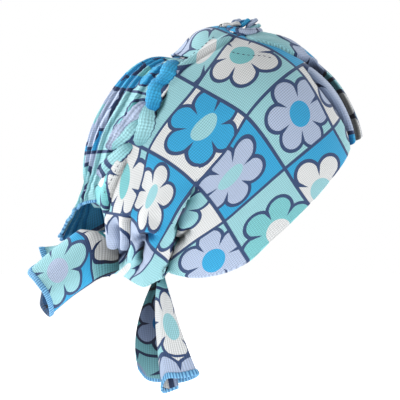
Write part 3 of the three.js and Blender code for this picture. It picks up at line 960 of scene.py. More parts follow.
# %% Tuck and hollow
TUCK_STEP = 4.2
TUCK_DIP = 8.5
TUCK_LAP = 5.5
TUCK_SHADE = 0.8
TUCK_STARTS = (109, 122)
TUCK_FADE = {"step": 12, "dip": 8, "lap": 5, "shade": 3}
HOLLOW_EDGE = {"down": [113, 119, 123, 127, 130, 134], "turn": [167, 168, 168.8, 170.4, 172.5, 175]}
HOLLOW_STARTS = (112, 115)
HOLLOW_ENDS = (129, 135)
HOLLOW_SLOPE = 4


def tuck_folds(side, down, flat):
    tuck = tuck_turn(down)
    behind = side > tuck - 0.01
    drawn = rise(*TUCK_STARTS, down)
    to_tuck = np.radians(np.abs(side - tuck)) * flat
    step, dip, lap, dark = (np.exp(-to_tuck / TUCK_FADE[part]) for part in ("step", "dip", "lap", "shade"))
    lift = np.where(behind, TUCK_STEP * step, -TUCK_DIP * dip)
    lean = np.where(behind, -TUCK_LAP * lap, 0)
    shade = np.where(behind, 0, TUCK_SHADE * dark)
    return lift * drawn, lean * drawn, shade * drawn


def hollow_under_flap(side, down, flat):
    inside = np.radians(side - curve(HOLLOW_EDGE, "down", "turn", down)) * flat
    return rise(0, HOLLOW_SLOPE, inside) * rise(*HOLLOW_STARTS, down) * (1 - rise(*HOLLOW_ENDS, down))


print("tuck, in degrees from the front:", round(float(tuck_turn(120.0)), 1))

# %% [markdown]
# The crown's surface is the sum of these: the pleats, the tuck, the strokes, a hollow under the flap, and
# a soft ripple so that no part is quite even. They move the cloth along its own normal, as a hand would
# push it, and not along a line from the middle of the form.

# %% Crown surface
HOLLOW_DEPTH = 11.0
HOLLOW_SHADE = 0.9
SOFT_RIPPLE = {"height": 0.45, "length": 55, "seed": 3, "starts": (15, 45)}
LEAST_FLAT = 5
LEAST_DOWN = 4


def crown_normal(side, down, step=0.5):
    down = np.maximum(down, LEAST_DOWN)
    lengthwise = on_crown(side, down + step) - on_crown(side, down - step)
    sideways = on_crown(side + step, down) - on_crown(side - step, down)
    return unit(np.cross(lengthwise, sideways))


def crown_surface(side, down):
    radius = crown_base(side, down)
    flat = np.maximum(radius * np.sin(np.radians(down)), LEAST_FLAT)
    pleat_lift, pleat_lean, pleat_shade = pleat_folds(side, down / rim_down(side), flat)
    tuck_lift, tuck_lean, tuck_shade = tuck_folds(side, down, flat)
    stroke_lift, lap, stroke_shade = stroke_folds(side, down)
    hollow = hollow_under_flap(side, down, flat)
    soft = SOFT_RIPPLE["height"] * ripple(side, down, SOFT_RIPPLE["length"], SOFT_RIPPLE["seed"])
    return {
        "radius": radius - HOLLOW_DEPTH * hollow,
        "lift": pleat_lift + tuck_lift + stroke_lift + soft * rise(*SOFT_RIPPLE["starts"], down),
        "turn": side + np.degrees((pleat_lean + tuck_lean) / flat),
        "down": down + np.degrees(lap / radius),
        "shade": pleat_shade + tuck_shade + stroke_shade + HOLLOW_SHADE * hollow,
    }


def crown_point(turn, down, sunk=0.0):
    side = np.abs(turn)
    surface = crown_surface(side, down)
    points = place(surface["turn"], surface["down"], surface["radius"])
    points += crown_normal(side, down) * (surface["lift"] - sunk)[:, None]
    points[:, 1] *= np.sign(turn)
    return points


samples = crown_point(np.array([0.0, -90.0]), np.array([60.0, 90.0]))
print("points on the forehead and the side:", samples.round(1).tolist())

# %% [markdown]
# The grid's rows run from the top to the rim, closer together at the nape, and the last few roll under,
# as a turned edge does. Its columns are shared out between the fold lines, so that a line of points lies
# on each crease.

# %% Crown grid
COLUMNS = {"middle": 24, "roll": 20, "side": 36, "nape": 56, "back": 16}
HALF_COLUMNS = sum(COLUMNS.values())
WINDOW_FIRST_ROW, WINDOW_LAST_ROW, RIM_ROW = 26, 78, 134
ROLLED_ROWS = 4
CROWN_ROWS = RIM_ROW + ROLLED_ROWS
ROLL_DEPTH = 2.6
ROLL_DROP = 1.1
WINDOW_TOP = 41.0
WINDOW_BOTTOM = 114.0
BACK_STARTS = (110, 122)
NAPE_RIM = rim_down(152.0)

crown, across, along = cloth_grid("crown_cloth", 2 * HALF_COLUMNS, CROWN_ROWS)
step = np.abs(across - 0.5) * 2 * HALF_COLUMNS
row = along * CROWN_ROWS
rolled = np.maximum(row - RIM_ROW, 0) / ROLLED_ROWS
row_stops = [0, WINDOW_FIRST_ROW, WINDOW_LAST_ROW, RIM_ROW]
back_down = np.interp(row, row_stops, [0, WINDOW_TOP, WINDOW_BOTTOM, NAPE_RIM])
share = back_down / NAPE_RIM
stops = np.cumsum([0, *COLUMNS.values()])
front, back = np.zeros_like(share), np.full_like(share, 180)
turns = [front, middle_edge(share), pleat_edge(share), tuck_turn(back_down), seam_turn(back_down), back]
crown_turn = np.zeros_like(step)
for k in range(len(COLUMNS)):
    part = np.clip((step - stops[k]) / (stops[k + 1] - stops[k]), 0, 1)
    crown_turn = np.where(step >= stops[k], turns[k] + (turns[k + 1] - turns[k]) * part, crown_turn)
back_share = rise(*BACK_STARTS, crown_turn)
below = np.clip((row - WINDOW_LAST_ROW) / (RIM_ROW - WINDOW_LAST_ROW), 0, 1)
back_down += below * (rim_down(crown_turn) - NAPE_RIM)
crown_down = share * rim_down(crown_turn) * (1 - back_share) + back_down * back_share
crown_turn *= np.where(across < 0.5, -1, 1)
edge_down = crown_down + ROLL_DROP * np.sin(math.pi / 2 * rolled)
move_points(crown, crown_point(crown_turn, edge_down, ROLL_DEPTH * rolled ** 2))
shade_creases(crown, crown_surface(np.abs(crown_turn), crown_down)["shade"])
print("crown points:", len(crown_turn))

# %% [markdown]
# The print on the crown is laid so that the crossings of its check come where they are on the real
# one. Each side is unrolled about its middle, and a thin-plate spline carries the crossings,
# given by turn and angle down, to their column and row. Such a spline bends a sheet as little as it
# can, which is what stretch cloth does. The tuck hides a wedge of cloth, so the print behind it has a
# spline of its own. The two sides meet in a seam on top, where prints never match. A fold that laps down
# takes its print from the place that it reaches, as cloth that has slid there does.

# %% Print on the crown
SIDE_REACH = 92.0
CROSSING_HEADS = ("parts", "turn", "down", "column", "row")
CROSSINGS = [
    ("front back", 109.6, 19.5, 0, -1),
    ("front back", 49.4, 44.5, 1, -1),
    ("front back", 34.4, 81.9, 2, -1),
    ("front back", 124.8, 59.2, 0, 0),
    ("front back", 92.2, 74.8, 1, 0),
    ("front back", 67.9, 106.2, 2, 0),
    ("front back", 51.6, 122.8, 2.66, 0),
    ("front back", 144.2, 94.1, 0, 1),
    ("front back", 123.1, 113.0, 1, 1),
    ("front back", 106.9, 132.4, 2, 1),
    ("front", 93.1, 145.9, 2.75, 1),
    ("front", 127.2, 137.4, 2, 1.46),
    ("front", 145.5, 140.5, 2, 1.87),
    ("back", 162.2, 107.8, -1, 1.67),
    ("back", 165.8, 115.5, -1, 2),
    ("back", 155.1, 119.4, 0, 2),
    ("back", 149.2, 128.2, 0.55, 2),
    ("back", 157.1, 127.8, 0, 2.37),
    ("back", 167.0, 132.5, 0, 2.7),
    ("back", 147.8, 134.0, 1, 2),
    ("back", 150.9, 136.2, 1, 2.12),
    ("back", 158.2, 138.2, 1, 2.42),
    ("back", 166.1, 138.2, 1, 2.6),
]
LEFT_SHIFT = np.array([2.45, 1.3])


def unroll(points):
    arm = unit(points - FORM_MIDDLE)
    angle = np.arccos(np.clip(np.abs(arm[:, 1]), 0, 1))
    flat = np.hypot(arm[:, 0], arm[:, 2]) + 1e-9
    return SIDE_REACH * (angle / flat)[:, None] * arm[:, [0, 2]]


def bending(a, b):
    square = ((a[:, None] - b[None]) ** 2).sum(-1)
    return square * np.log(square + 1e-12) / 2


def spline_through(places, values, stiffness=20.0):
    plain = np.c_[np.ones(len(places)), places]
    left = np.block([
        [bending(places, places) + stiffness * np.eye(len(places)), plain],
        [plain.T, np.zeros((3, 3))],
    ])
    weights = np.linalg.solve(left, np.r_[values, np.zeros((3, values.shape[1]))])
    return lambda at: bending(at, places) @ weights[:-3] + np.c_[np.ones(len(at)), at] @ weights[-3:]


def print_map(part):
    ties = [dict(zip(CROSSING_HEADS, line)) for line in CROSSINGS]
    ties = [tie for tie in ties if part in tie["parts"]]
    turns, downs = np.array([(tie["turn"], tie["down"]) for tie in ties]).T
    tiles = np.array([(tie["column"], tie["row"]) for tie in ties], float)
    return spline_through(unroll(on_crown(turns, downs)), tiles)


base_radius = crown_base(np.abs(crown_turn), crown_down)
slid = np.degrees(stroke_folds(np.abs(crown_turn), crown_down)[1] / base_radius)
unrolled = unroll(place(crown_turn, crown_down + slid, base_radius))
front_tiles = print_map("front")(unrolled)
back_tiles = print_map("back")(unrolled)
print("crossings of the check:", len(CROSSINGS))

# %% [markdown]
# The creases beside the pleats hide cloth, so the print jumps there. The middle pleat is one strip over
# the forehead and the roll beside it another, so each is measured along and across and has its own place
# on the print.

# %% Print of the pleats
MIDDLE_PLACE = np.array([5.08, 1.78])
MIDDLE_FROM = 0.08
ROLL_PLACE = np.array([5.45, 2.62])
ROLL_MIDDLE = 109.0
ROLL_FROM = 0.36
TUCK_BLEND = 30
TUCK_PARTS = (100, 113)

corner_points = corners(crown)
face_corners = corner_points.reshape(-1, 4)


def at_faces(values):
    return values[face_corners].mean(1)


side = np.abs(crown_turn)
flat = crown_base(side, crown_down) * np.sin(np.radians(crown_down))
down_run = SIDE_REACH * np.radians(crown_down)
crown_share = crown_down / rim_down(side)
roll_turn = (middle_edge(crown_share) + pleat_edge(crown_share)) / 2
middle_tiles = MIDDLE_PLACE + np.stack([np.radians(crown_turn) * flat, down_run], -1) / TILE
roll_tiles = ROLL_PLACE + np.stack([np.radians(side - roll_turn) * flat, down_run - ROLL_MIDDLE], -1) / TILE
face_step, face_row, face_share = at_faces(step), at_faces(row), at_faces(share)
phase = pleat_phase(at_faces(side), face_share)
in_middle = (phase < 1) & (face_share > MIDDLE_FROM)
in_roll = (phase >= 1) & (phase < 2) & (face_share > ROLL_FROM)
past_tuck = np.radians(side - tuck_turn(crown_down)) * SIDE_REACH
slack = rise(-TUCK_BLEND, TUCK_BLEND, past_tuck)[corner_points]
folded = rise(*TUCK_PARTS, crown_down)[corner_points]
behind_tuck = np.repeat(face_step > stops[3], 4)
back_share = (slack + (behind_tuck - slack) * folded)[:, None]
crown_tiles = front_tiles[corner_points] * (1 - back_share) + back_tiles[corner_points] * back_share
on_left = at_faces(across) > 0.5
crown_tiles += np.repeat(on_left[:, None] * LEFT_SHIFT, 4, axis=0)
crown_tiles = np.where(np.repeat(in_middle, 4)[:, None], middle_tiles[corner_points], crown_tiles)
crown_tiles = np.where(np.repeat(in_roll, 4)[:, None], roll_tiles[corner_points], crown_tiles)
lay_map(crown, "cloth_print", crown_tiles)
print("faces with a pleat's own print:", int(in_middle.sum() + in_roll.sum()))

# %% [markdown]
# The back of the crown is open where the back panel fills it, so those faces are selected by their row
# and column and deleted. Rows and columns meet that opening's edge exactly, which leaves it straight. A
# sill of a few rows stays behind the panel's lower end, so that nothing shows through between the two.

# %% Open the crown's back
CLOTH_WALL = 1.6
SILL_ROWS = 6

in_window = (face_step > stops[4]) & (face_row > WINDOW_FIRST_ROW)
in_window &= face_row < WINDOW_LAST_ROW - SILL_ROWS
bpy.ops.object.mode_set(mode="EDIT")
bpy.ops.mesh.select_mode(type="FACE")
bpy.ops.object.mode_set(mode="OBJECT")
crown.data.polygons.foreach_set("select", in_window)
bpy.ops.object.mode_set(mode="EDIT")
bpy.ops.mesh.delete(type="FACE")
bpy.ops.object.mode_set(mode="OBJECT")
close_up(crown, FORM_MIDDLE)
give_wall(crown, CLOTH_WALL)
stand_for(crown, "printed_knit", "crown")
print("faces taken from the back:", int(in_window.sum()))

# %% [markdown]
# ## Back panel
# A full panel fills the crown's back. It is gathered into both seams, so long folds run down it beside
# them, each lapping a little over the next, and its lower edge hangs free as a flap that stands off the
# nape and arches up on the wearer's right. Short wrinkles start at the seams and die out.

# %% Back panel
EDGE_OVERLAP = 5.0
EDGE_UNDER = 3.6
DRAPE_TOP = 37.5
FLAP_START = 103.0
FLAP_TIP = 115.5
RIGHT_CORNER = 111.5
LEFT_CORNER = 123.0
FLAP_FLARE = 35.0
FLAP_CURL = 1.6
FORM_END = 107.0
FLAP_ARCH = 4.5
DRAPE_FOLDS = {"across": [0.12, 0.30, 0.46, 0.57, 0.74], "height": [3.0, 4.0, 3.6, 3.4, 3.0]}
SEAM_SHADE = 0.5
FOLD_SHADE = 0.4
FOLD_CREASE = 0.012
FOLD_EDGE = 0.014
FOLD_SLOPE = 0.1
FOLD_SINK = 0.8
FOLDS_START = (42, 50)
FOLD_WANDER = {"slow": (0.02, 7.0), "quick": (0.012, 3.1)}
WRINKLE = {"height": 0.8, "reach": 13.0, "pace": 2.1, "uneven": (2, 4.0)}
EDGE_SLOPE = 9
TOP_REACH = 105


def drape_flat(down):
    return form_radius(180.0, down) * np.sin(np.radians(down))


def drape_half(down):
    return 180 - seam_turn(down) + np.degrees(EDGE_OVERLAP / drape_flat(down))


def wandering(across, down):
    slow, slow_length = FOLD_WANDER["slow"]
    quick, quick_length = FOLD_WANDER["quick"]
    aside = slow * np.sin(down / slow_length) + quick * np.sin(down / quick_length + np.sign(across))
    return np.abs(across) + aside


def drape_folds(across, down):
    spot = wandering(across, down)
    total = np.zeros(np.broadcast(across, down).shape)
    for edge, height in zip(DRAPE_FOLDS["across"], DRAPE_FOLDS["height"]):
        past = edge - spot
        total += height * rise(-FOLD_EDGE, FOLD_EDGE, past) * np.exp(-np.maximum(past, 0) / FOLD_SLOPE)
    return total - FOLD_SINK


def drape_shade(across, down):
    spot = wandering(across, down)
    creases = sum(np.exp(-(((spot - edge) / FOLD_CREASE - 1) ** 2)) for edge in DRAPE_FOLDS["across"])
    return SEAM_SHADE * rise(0.9, 1.0, np.abs(across)) + FOLD_SHADE * creases * rise(*FOLDS_START, down)


def drape_radius(turn, down):
    side = np.abs(turn)
    across = (180 - side) / drape_half(down) * np.where(turn < 0, -1, 1)
    of_seam = (180 - side) / (180 - seam_turn(down))
    from_seam = np.radians(side - seam_turn(down)) * drape_flat(down)
    from_top = np.radians(down - WINDOW_TOP) * TOP_REACH
    inside = rise(0, EDGE_SLOPE, np.minimum(from_seam, from_top))
    middle = np.maximum(1 - of_seam ** 2, 0)
    flare = np.maximum(down - FLAP_START, 0) / (FLAP_TIP - FLAP_START)
    by_seam = WRINKLE["height"] * np.exp(-np.maximum(from_seam, 0) / WRINKLE["reach"])
    uneven, uneven_length = WRINKLE["uneven"]
    wrinkles = by_seam * np.sin(WRINKLE["pace"] * down + uneven * np.sin(down / uneven_length))
    folds = drape_folds(across, down) * rise(*FOLDS_START, down) + wrinkles
    radius = form_radius(turn, np.minimum(down, FORM_END)) - EDGE_UNDER * (1 - inside)
    return radius + folds * inside + FLAP_FLARE * flare ** FLAP_CURL * middle


def drape_place(share, across):
    corner = np.where(across < 0, RIGHT_CORNER, LEFT_CORNER)
    end = FLAP_TIP + (corner - FLAP_TIP) * np.abs(across) ** 1.4
    end -= FLAP_ARCH * np.sin(math.pi * np.clip(-across, 0, 1) ** 0.8)
    down = DRAPE_TOP + (end - DRAPE_TOP) * share
    turn = 180 - drape_half(down) * across
    return np.where(turn > 180, turn - 360, turn), down


def drape_point(share, across, sunk=0.0):
    turn, down = drape_place(share, across)
    return place(turn, down, drape_radius(turn, down) - sunk)


print("half width of the panel at the flap, in degrees:", round(float(drape_half(FLAP_START)), 1))

# %% [markdown]
# The panel's own print is laid flat: columns go across it and rows down it. The numbers in its border
# table put one line of the check across and one line down where they are on the real panel.

# %% Back panel cloth
DRAPE_GRID = (180, 120)
DRAPE_HALF_WIDTH = 72.0
DRAPE_BORDER = {"sideways": 36.5, "lengthwise": 110.0, "column": 4, "row": 2}
DRAPE_TILE = (55.0, 54.0)
DOWN_REACH = 2.1

drape, across, along = cloth_grid("back_drape_cloth", *DRAPE_GRID)
across = 2 * across - 1
drape_down = drape_place(along, across)[1]
sideways = DRAPE_BORDER["sideways"] + DRAPE_HALF_WIDTH * across
lengthwise = DOWN_REACH * (drape_down - WINDOW_TOP) - DRAPE_BORDER["lengthwise"]
columns = DRAPE_BORDER["column"] - sideways / DRAPE_TILE[0]
rows = DRAPE_BORDER["row"] + lengthwise / DRAPE_TILE[1]
tiles = np.stack([columns, rows], -1)
dress(drape, drape_point(along, across), tiles, drape_shade(across, drape_down), FORM_MIDDLE, CLOTH_WALL)
stand_for(drape, "printed_knit", "back_drape")

# %% [markdown]
# ## Shirred seams
# Where the panel is gathered into the crown, the seam puffs up in a row of crimped folds that lie over
# one another like the strands of a rope. Each puff is a strip of cloth along its own short line, domed
# across, drawn to a point at both ends and crimped. The puffs of a side are joined into one piece.

# %% Helpers for gathered strips
GATHERED_TILE = (75.0, 90.0)
TUCKED_UNDER = math.radians(112)
BLUNTNESS = 3.2
POINT_SIZE = 0.0004
OVER_DOME = 1.6


def turned_tiles(sideways, lengthwise, lay, tile=TILE):
    c, s = math.cos(math.radians(lay["turn"])), math.sin(math.radians(lay["turn"]))
    columns = (c * sideways - s * lengthwise) / tile[0] + lay["column"]
    rows = (s * sideways + c * lengthwise) / tile[1] + lay["row"]
    return np.stack([columns, rows], -1)


def blunt_ends(share):
    return np.maximum(1 - np.abs(2 * share - 1) ** BLUNTNESS, POINT_SIZE) ** 0.5


def dome(angle):
    return (np.cos(angle) - math.cos(TUCKED_UNDER)) / (1 - math.cos(TUCKED_UNDER))


print("a strip goes round its dome to", round(math.degrees(TUCKED_UNDER)), "degrees on each side")

# %% [markdown]
# The table gives each puff its line down the seam, by turn and angle down, its size, the strands it
# shows, and its place on the print. A puff lies on the form or the panel, whichever is higher there.

# %% Puffs of the seams
PUFF_HEADS = ("line", "half_width", "height", "strands", "turn", "column", "row")
PUFFS = [
    ([(148.2, 46), (143.4, 55.9), (145.2, 64)], 6.8, 6.6, 1, 10, 5.62, 3.15),
    ([(147.6, 58), (145.6, 67.2), (144.3, 76)], 6.4, 6.4, 1, 10, 5.62, 3.35),
    ([(140.6, 61), (143, 68.5)], 2.2, 3.5, 1, 0, 0.12, 0.05),
    ([(148.8, 71.5), (152.8, 79.1), (156.4, 84.5)], 6.4, 5.6, 2, 0, 5.45, 2.42),
    ([(154.4, 79.5), (157.6, 86.8), (160.8, 93)], 4.4, 5.6, 1, 0, 5.45, 2.58),
    ([(148.6, 79.5), (153.4, 86.8), (160, 92.8)], 5.0, 5.2, 1, 0, 2.09, 0.45),
    ([(147, 72), (145.6, 81.9), (148.2, 92)], 7.0, 5.4, 1, 0, 2.13, 0.10),
    ([(151, 91), (158, 96.6), (166, 102.6)], 6.0, 5.0, 1, 0, 2.10, 0.68),
]
PUFF_SINK = 0.8
CRIMP_PITCH = 2.8
CRIMP_DEPTH = 0.12
CRIMP_SLANT = 0.35
CRIMP_UNEVEN = 0.3
SCALLOP_PITCH = 6.0
SCALLOP_DEPTH = 0.05
STRAND_GROOVE = 0.3
SWELL = 0.08


def puff_length(puff):
    turns, downs = np.array(puff["line"], float).T
    line = place(turns, downs, form_radius(turns, downs))
    return float(np.linalg.norm(np.diff(line, axis=0), axis=1).sum())


def puff_point(hand, puff, share, across):
    turns, downs = np.array(puff["line"], float).T
    knots = np.linspace(0, 1, len(turns))
    turn, down = np.interp(share, knots, turns), np.interp(share, knots, downs)
    radius = form_radius(turn, down)
    flat = radius * np.sin(np.radians(down))
    run = unit(np.radians([turns[-1] - turns[0], downs[-1] - downs[0]]) * [flat.mean(), radius.mean()])
    run_mm = share * puff_length(puff)
    blunt = blunt_ends(share)
    angle = across * TUCKED_UNDER
    scallop = 1 + SCALLOP_DEPTH * np.sin(2 * math.pi * run_mm / SCALLOP_PITCH + turns[0])
    aside = puff["half_width"] * scallop * blunt * np.sin(angle)
    turn = turn + np.degrees(aside * run[1] / flat)
    down = down - np.degrees(aside * run[0] / radius)
    crimp = ridge(run_mm / CRIMP_PITCH + CRIMP_UNEVEN * np.sin(9 * share) + CRIMP_SLANT * across, 0.5)
    swell = 1 + SWELL * np.sin(11 * share + turns[0])
    strands = 1 - STRAND_GROOVE * (puff["strands"] > 1) * np.cos(math.pi * puff["strands"] * across) ** 2
    lift = puff["height"] * blunt * dome(angle) * strands * swell * (1 - CRIMP_DEPTH * (1 - crimp))
    panel = np.where(turn > seam_turn(down), drape_radius(turn, down), 0)
    base = np.maximum(form_radius(turn, down), panel)
    return place(hand * turn, down, base - PUFF_SINK + lift)


print("puffs on each seam:", len(PUFFS))

# %% [markdown]
# The left band is the mirror image of the right one, so its turn only changes sign.

# %% Shirred bands
PUFF_WALL = 1.2
PUFF_GRID = (34, 80)
PUFF_SHADE = {"sides": 0.8, "ends": 0.6}

for name, hand in (("ruffle_right", -1), ("ruffle_left", 1)):
    strips = []
    for line in PUFFS:
        puff = dict(zip(PUFF_HEADS, line))
        strip, across, along = cloth_grid(name + "_cloth", *PUFF_GRID)
        across = 2 * across - 1
        sideways = OVER_DOME * puff["half_width"] * across
        tiles = turned_tiles(sideways, puff_length(puff) * along, puff, GATHERED_TILE)
        shade = PUFF_SHADE["sides"] * rise(0.68, 1, np.abs(across))
        shade += PUFF_SHADE["ends"] * (1 - np.sin(math.pi * along) ** 0.3)
        dress(strip, puff_point(hand, puff, along, across), tiles, shade, FORM_MIDDLE, PUFF_WALL)
        strips.append(strip)
    band = join(strips, name + "_cloth")
    stand_for(band, "printed_knit", name)

# %% [markdown]
# ## Top knot
# The knot is a band of cloth wound round the gathered end of the crown, with the end crumpled above it.
# The band is a ring whose section is grooved, so it reads as a few strands.

# %% Band of the top knot
BAND_REACH = {"x": 14.2, "y": 26.0}
BAND_MIDDLE = {"x": -4.6, "z": 1.0}
BAND_TILT = 0.08
BAND_SAG = 0.005
BAND_TUBE = 3.4
BAND_STRANDS = 3
BAND_TWIST = 1.3
BAND_SECTION = {"least": 0.78, "strands": 0.3, "crumple": 0.06}
BAND_GRID = (160, 40)
BAND_SHADE = 0.7
BAND_GAP = 0.4
UNDER_BAND = (-2, 0, -20)
BAND_PRINT = {"turn": 8.0, "column": 5.87, "row": 0.05}
BAND_CUT = (100, 40)


def clear_of_crown(points, gap):
    arm = points - FORM_MIDDLE
    length = np.linalg.norm(arm, axis=-1)
    turn = np.degrees(np.arctan2(arm[:, 1], arm[:, 0]))
    down = np.degrees(np.arccos(arm[:, 2] / length))
    surface = crown_surface(np.abs(turn), down)
    return place(turn, down, np.maximum(length, surface["radius"] + surface["lift"] + gap))


band, across, along = cloth_grid("knot_band_cloth", *BAND_GRID)
turn, roll = 2 * math.pi * across, 2 * math.pi * along
groove = ridge(BAND_STRANDS * (along + 0.2 * np.sin(turn)), 0.5)
crumple = np.sin(9 * turn + 3 * (roll + BAND_TWIST * turn))
section = BAND_SECTION["least"] + BAND_SECTION["strands"] * groove + BAND_SECTION["crumple"] * crumple
swell = BAND_TUBE * section
x = (BAND_REACH["x"] + swell * np.cos(roll)) * np.cos(turn) + BAND_MIDDLE["x"]
y = (BAND_REACH["y"] + swell * np.cos(roll)) * np.sin(turn)
z = BAND_MIDDLE["z"] - BAND_TILT * x - BAND_SAG * y * y + swell * np.sin(roll)
points = clear_of_crown(np.stack([x, y, z], -1), BAND_GAP)
tiles = turned_tiles(BAND_CUT[0] * across, BAND_CUT[1] * along, BAND_PRINT)
dress(band, points, tiles, BAND_SHADE * (1 - groove) ** 2, UNDER_BAND)
stand_for(band, "printed_knit", "knot_band")

# %% [markdown]
# The tuft is a handful of small folds that stick out of the band, each a strip that is domed and grooved
# like the puffs of the seams.

# %% Tuft of the top knot
TUFT_HEADS = ("start", "end", "half_width", "height", "column", "row")
TUFT_FOLDS = [
    ((-24, -10, 3), (-6, -8, 5), 5.4, 4.6, 1.85, 1.40),
    ((-14, -6, 3), (-6, -2, 10.5), 3.6, 4.6, 5.45, 2.55),
    ((-7, -7, 3), (1, -1, 10.5), 4.4, 4.4, 5.62, 3.15),
    ((-1, -7, 2.5), (8, 0, 11), 3.8, 4.2, 5.45, 2.55),
    ((1, -10, 0.5), (11, -5, 5), 4.2, 3.6, 2.14, 0.10),
    ((-18, 6, 1.5), (-4, 6, 6), 5.4, 4.4, 5.45, 2.55),
    ((-3, 8, 1.5), (9, 5, 6), 5.0, 4.0, 0.12, 0.05),
]
TUFT_LAY = 10.0
TUFT_CUT = 18
TUFT_GRID = (30, 44)
TUFT_WALL = 1.1
TUFT_CRUMPLE = 0.12
TUFT_GROOVE = {"depth": 0.35, "width": 0.2, "sway": 0.15}
TUFT_SHADE = {"sides": 0.6, "groove": 0.4, "groove_width": 0.16}
TUFT_GAP = 0.6
UNDER_TUFT = (-4, 0, -20)


def tuft_point(fold, share, across):
    start, end = np.array(fold["start"], float), np.array(fold["end"], float)
    run = end - start
    aside = unit(np.cross(run, (0, 0, 1)))
    up = np.cross(aside, run) / np.linalg.norm(run)
    angle = across * TUCKED_UNDER
    size = blunt_ends(share) * (1 + TUFT_CRUMPLE * np.sin(7 * share + 2.2 * across + start[0]))
    from_groove = (across - TUFT_GROOVE["sway"] * np.sin(5 * share)) / TUFT_GROOVE["width"]
    groove = 1 - TUFT_GROOVE["depth"] * np.exp(-(from_groove ** 2))
    points = start + run * share[:, None]
    points += aside * (fold["half_width"] * size * np.sin(angle))[:, None]
    return points + up * (fold["height"] * size * groove * dome(angle))[:, None]


strips = []
for line in TUFT_FOLDS:
    fold = {"turn": TUFT_LAY, **dict(zip(TUFT_HEADS, line))}
    strip, across, along = cloth_grid("knot_tuft_cloth", *TUFT_GRID)
    across = 2 * across - 1
    points = clear_of_crown(tuft_point(fold, along, across), TUFT_GAP)
    tiles = turned_tiles(OVER_DOME * fold["half_width"] * across, TUFT_CUT * along, fold, GATHERED_TILE)
    shade = TUFT_SHADE["sides"] * rise(0.75, 1, np.abs(across))
    shade += TUFT_SHADE["groove"] * np.exp(-((across / TUFT_SHADE["groove_width"]) ** 2))
    dress(strip, points, tiles, shade, UNDER_TUFT, TUFT_WALL)
    strips.append(strip)
tuft = join(strips, "knot_tuft_cloth")
stand_for(tuft, "printed_knit", "knot_tuft")

# %% [markdown]
# ## Nape knot
# Under the flap the two ends are tied in a flat knot. Most of it is in shade, so a lump with a few wound
# folds is enough.

# %% Nape knot
KNOT_MIDDLE = np.array([-139.0, -2.0, -197.0])
KNOT_REACH = np.array([12.0, 20.6, 17.5])
KNOT_WINDS = 5
KNOT_SLANT = 0.9
KNOT_SECTION = {"least": 0.9, "winds": 0.14}
KNOT_GRID = (110, 56)
KNOT_GAP = 0.4
KNOT_PRINT = {"turn": 30.0, "column": 2.2, "row": 2.4}
KNOT_CUT = (110, 50)

knot, across, along = cloth_grid("nape_knot_cloth", *KNOT_GRID)
turn, tilt = 2 * math.pi * across, math.pi * along
wound = ridge(KNOT_WINDS * across + KNOT_SLANT * along, 0.6)
flat = np.sin(tilt) * (KNOT_SECTION["least"] + KNOT_SECTION["winds"] * wound)
ball = np.stack([flat * np.cos(turn), flat * np.sin(turn), -np.cos(tilt)], -1)
points = clear_of_crown(KNOT_MIDDLE + KNOT_REACH * ball, KNOT_GAP)
tiles = turned_tiles(KNOT_CUT[0] * across, KNOT_CUT[1] * along, KNOT_PRINT)
dress(knot, points, tiles, np.zeros_like(across), KNOT_MIDDLE)
stand_for(knot, "printed_knit", "nape_knot")

# %% [markdown]
# ## Tie ends
# Each tie end is one folded piece of cloth. A table gives three lines across it, at the gathered root, in
# its middle and at its hemmed end, and a smooth surface is passed through them. The curve along a line goes
# through its points, and makes no loop where they lie close, because each stretch is timed by the square
# root of its length.

# %% Lines of the tie ends
TAIL_OUTER = {
    "root": [
        (-146, 10, -178), (-150, 0, -175), (-147, -12, -174), (-138, -21, -177), (-134, -24, -190),
        (-134, -24, -204), (-134, -18, -218), (-147, -8, -218), (-152, 1, -209),
    ],
    "middle": [
        (-163, 10, -186), (-165, 2, -187), (-168, -9, -189), (-164, -18, -199), (-157, -23, -211),
        (-154, -22, -223), (-152, -12, -231), (-162, -1, -225), (-166, 6, -215),
    ],
    "end": [
        (-183, 7, -189), (-180, 3, -200), (-194, -7, -212), (-186, -17, -219), (-178, -21, -229),
        (-174, -17, -239), (-175, -6, -250), (-183, 5, -241), (-181, 10, -228),
    ],
}
TAIL_HANGING = {
    "root": [
        (-81, -33, -213), (-80, -32, -213), (-78.5, -31.5, -213), (-77, -31, -213), (-75, -31.5, -213),
        (-73.5, -33.5, -213), (-75, -35.5, -213), (-77, -36, -213), (-78.5, -34.5, -213),
        (-77, -33.5, -213),
    ],
    "middle": [
        (-97, -26, -258), (-88, -25, -260), (-76, -25, -261), (-66, -27, -262), (-59, -30, -262),
        (-58, -36, -262), (-67, -40, -262), (-77, -41, -258), (-80, -36, -260), (-70, -34, -263),
    ],
    "end": [
        (-96, -25, -294), (-88, -22, -304), (-75, -23, -306), (-60, -25, -306), (-47, -29, -301),
        (-44, -35, -297), (-58, -40, -300), (-71, -40, -302), (-74, -35, -316), (-60, -32, -311),
    ],
}


def smooth_line(points, at):
    points = np.asarray(points, float)
    ends = [2 * points[0] - points[1]], [2 * points[-1] - points[-2]]
    padded = np.concatenate([ends[0], points, ends[1]])
    last = len(points) - 1
    spot = np.clip(at, 0, 1) * last
    k = np.minimum(spot.astype(int), last - 1)
    t = (spot - k)[:, None]
    p = [padded[k + n] for n in range(4)]
    gaps = [np.sqrt(np.linalg.norm(p[n + 1] - p[n], axis=1))[:, None] for n in range(3)]
    first = (p[1] - p[0]) / gaps[0] - (p[2] - p[0]) / (gaps[0] + gaps[1]) + (p[2] - p[1]) / gaps[1]
    second = (p[2] - p[1]) / gaps[1] - (p[3] - p[1]) / (gaps[1] + gaps[2]) + (p[3] - p[2]) / gaps[2]
    first, second = first * gaps[1], second * gaps[1]
    square = 3 * (p[2] - p[1]) - 2 * first - second
    cube = 2 * (p[1] - p[2]) + first + second
    return p[1] + first * t + square * t ** 2 + cube * t ** 3


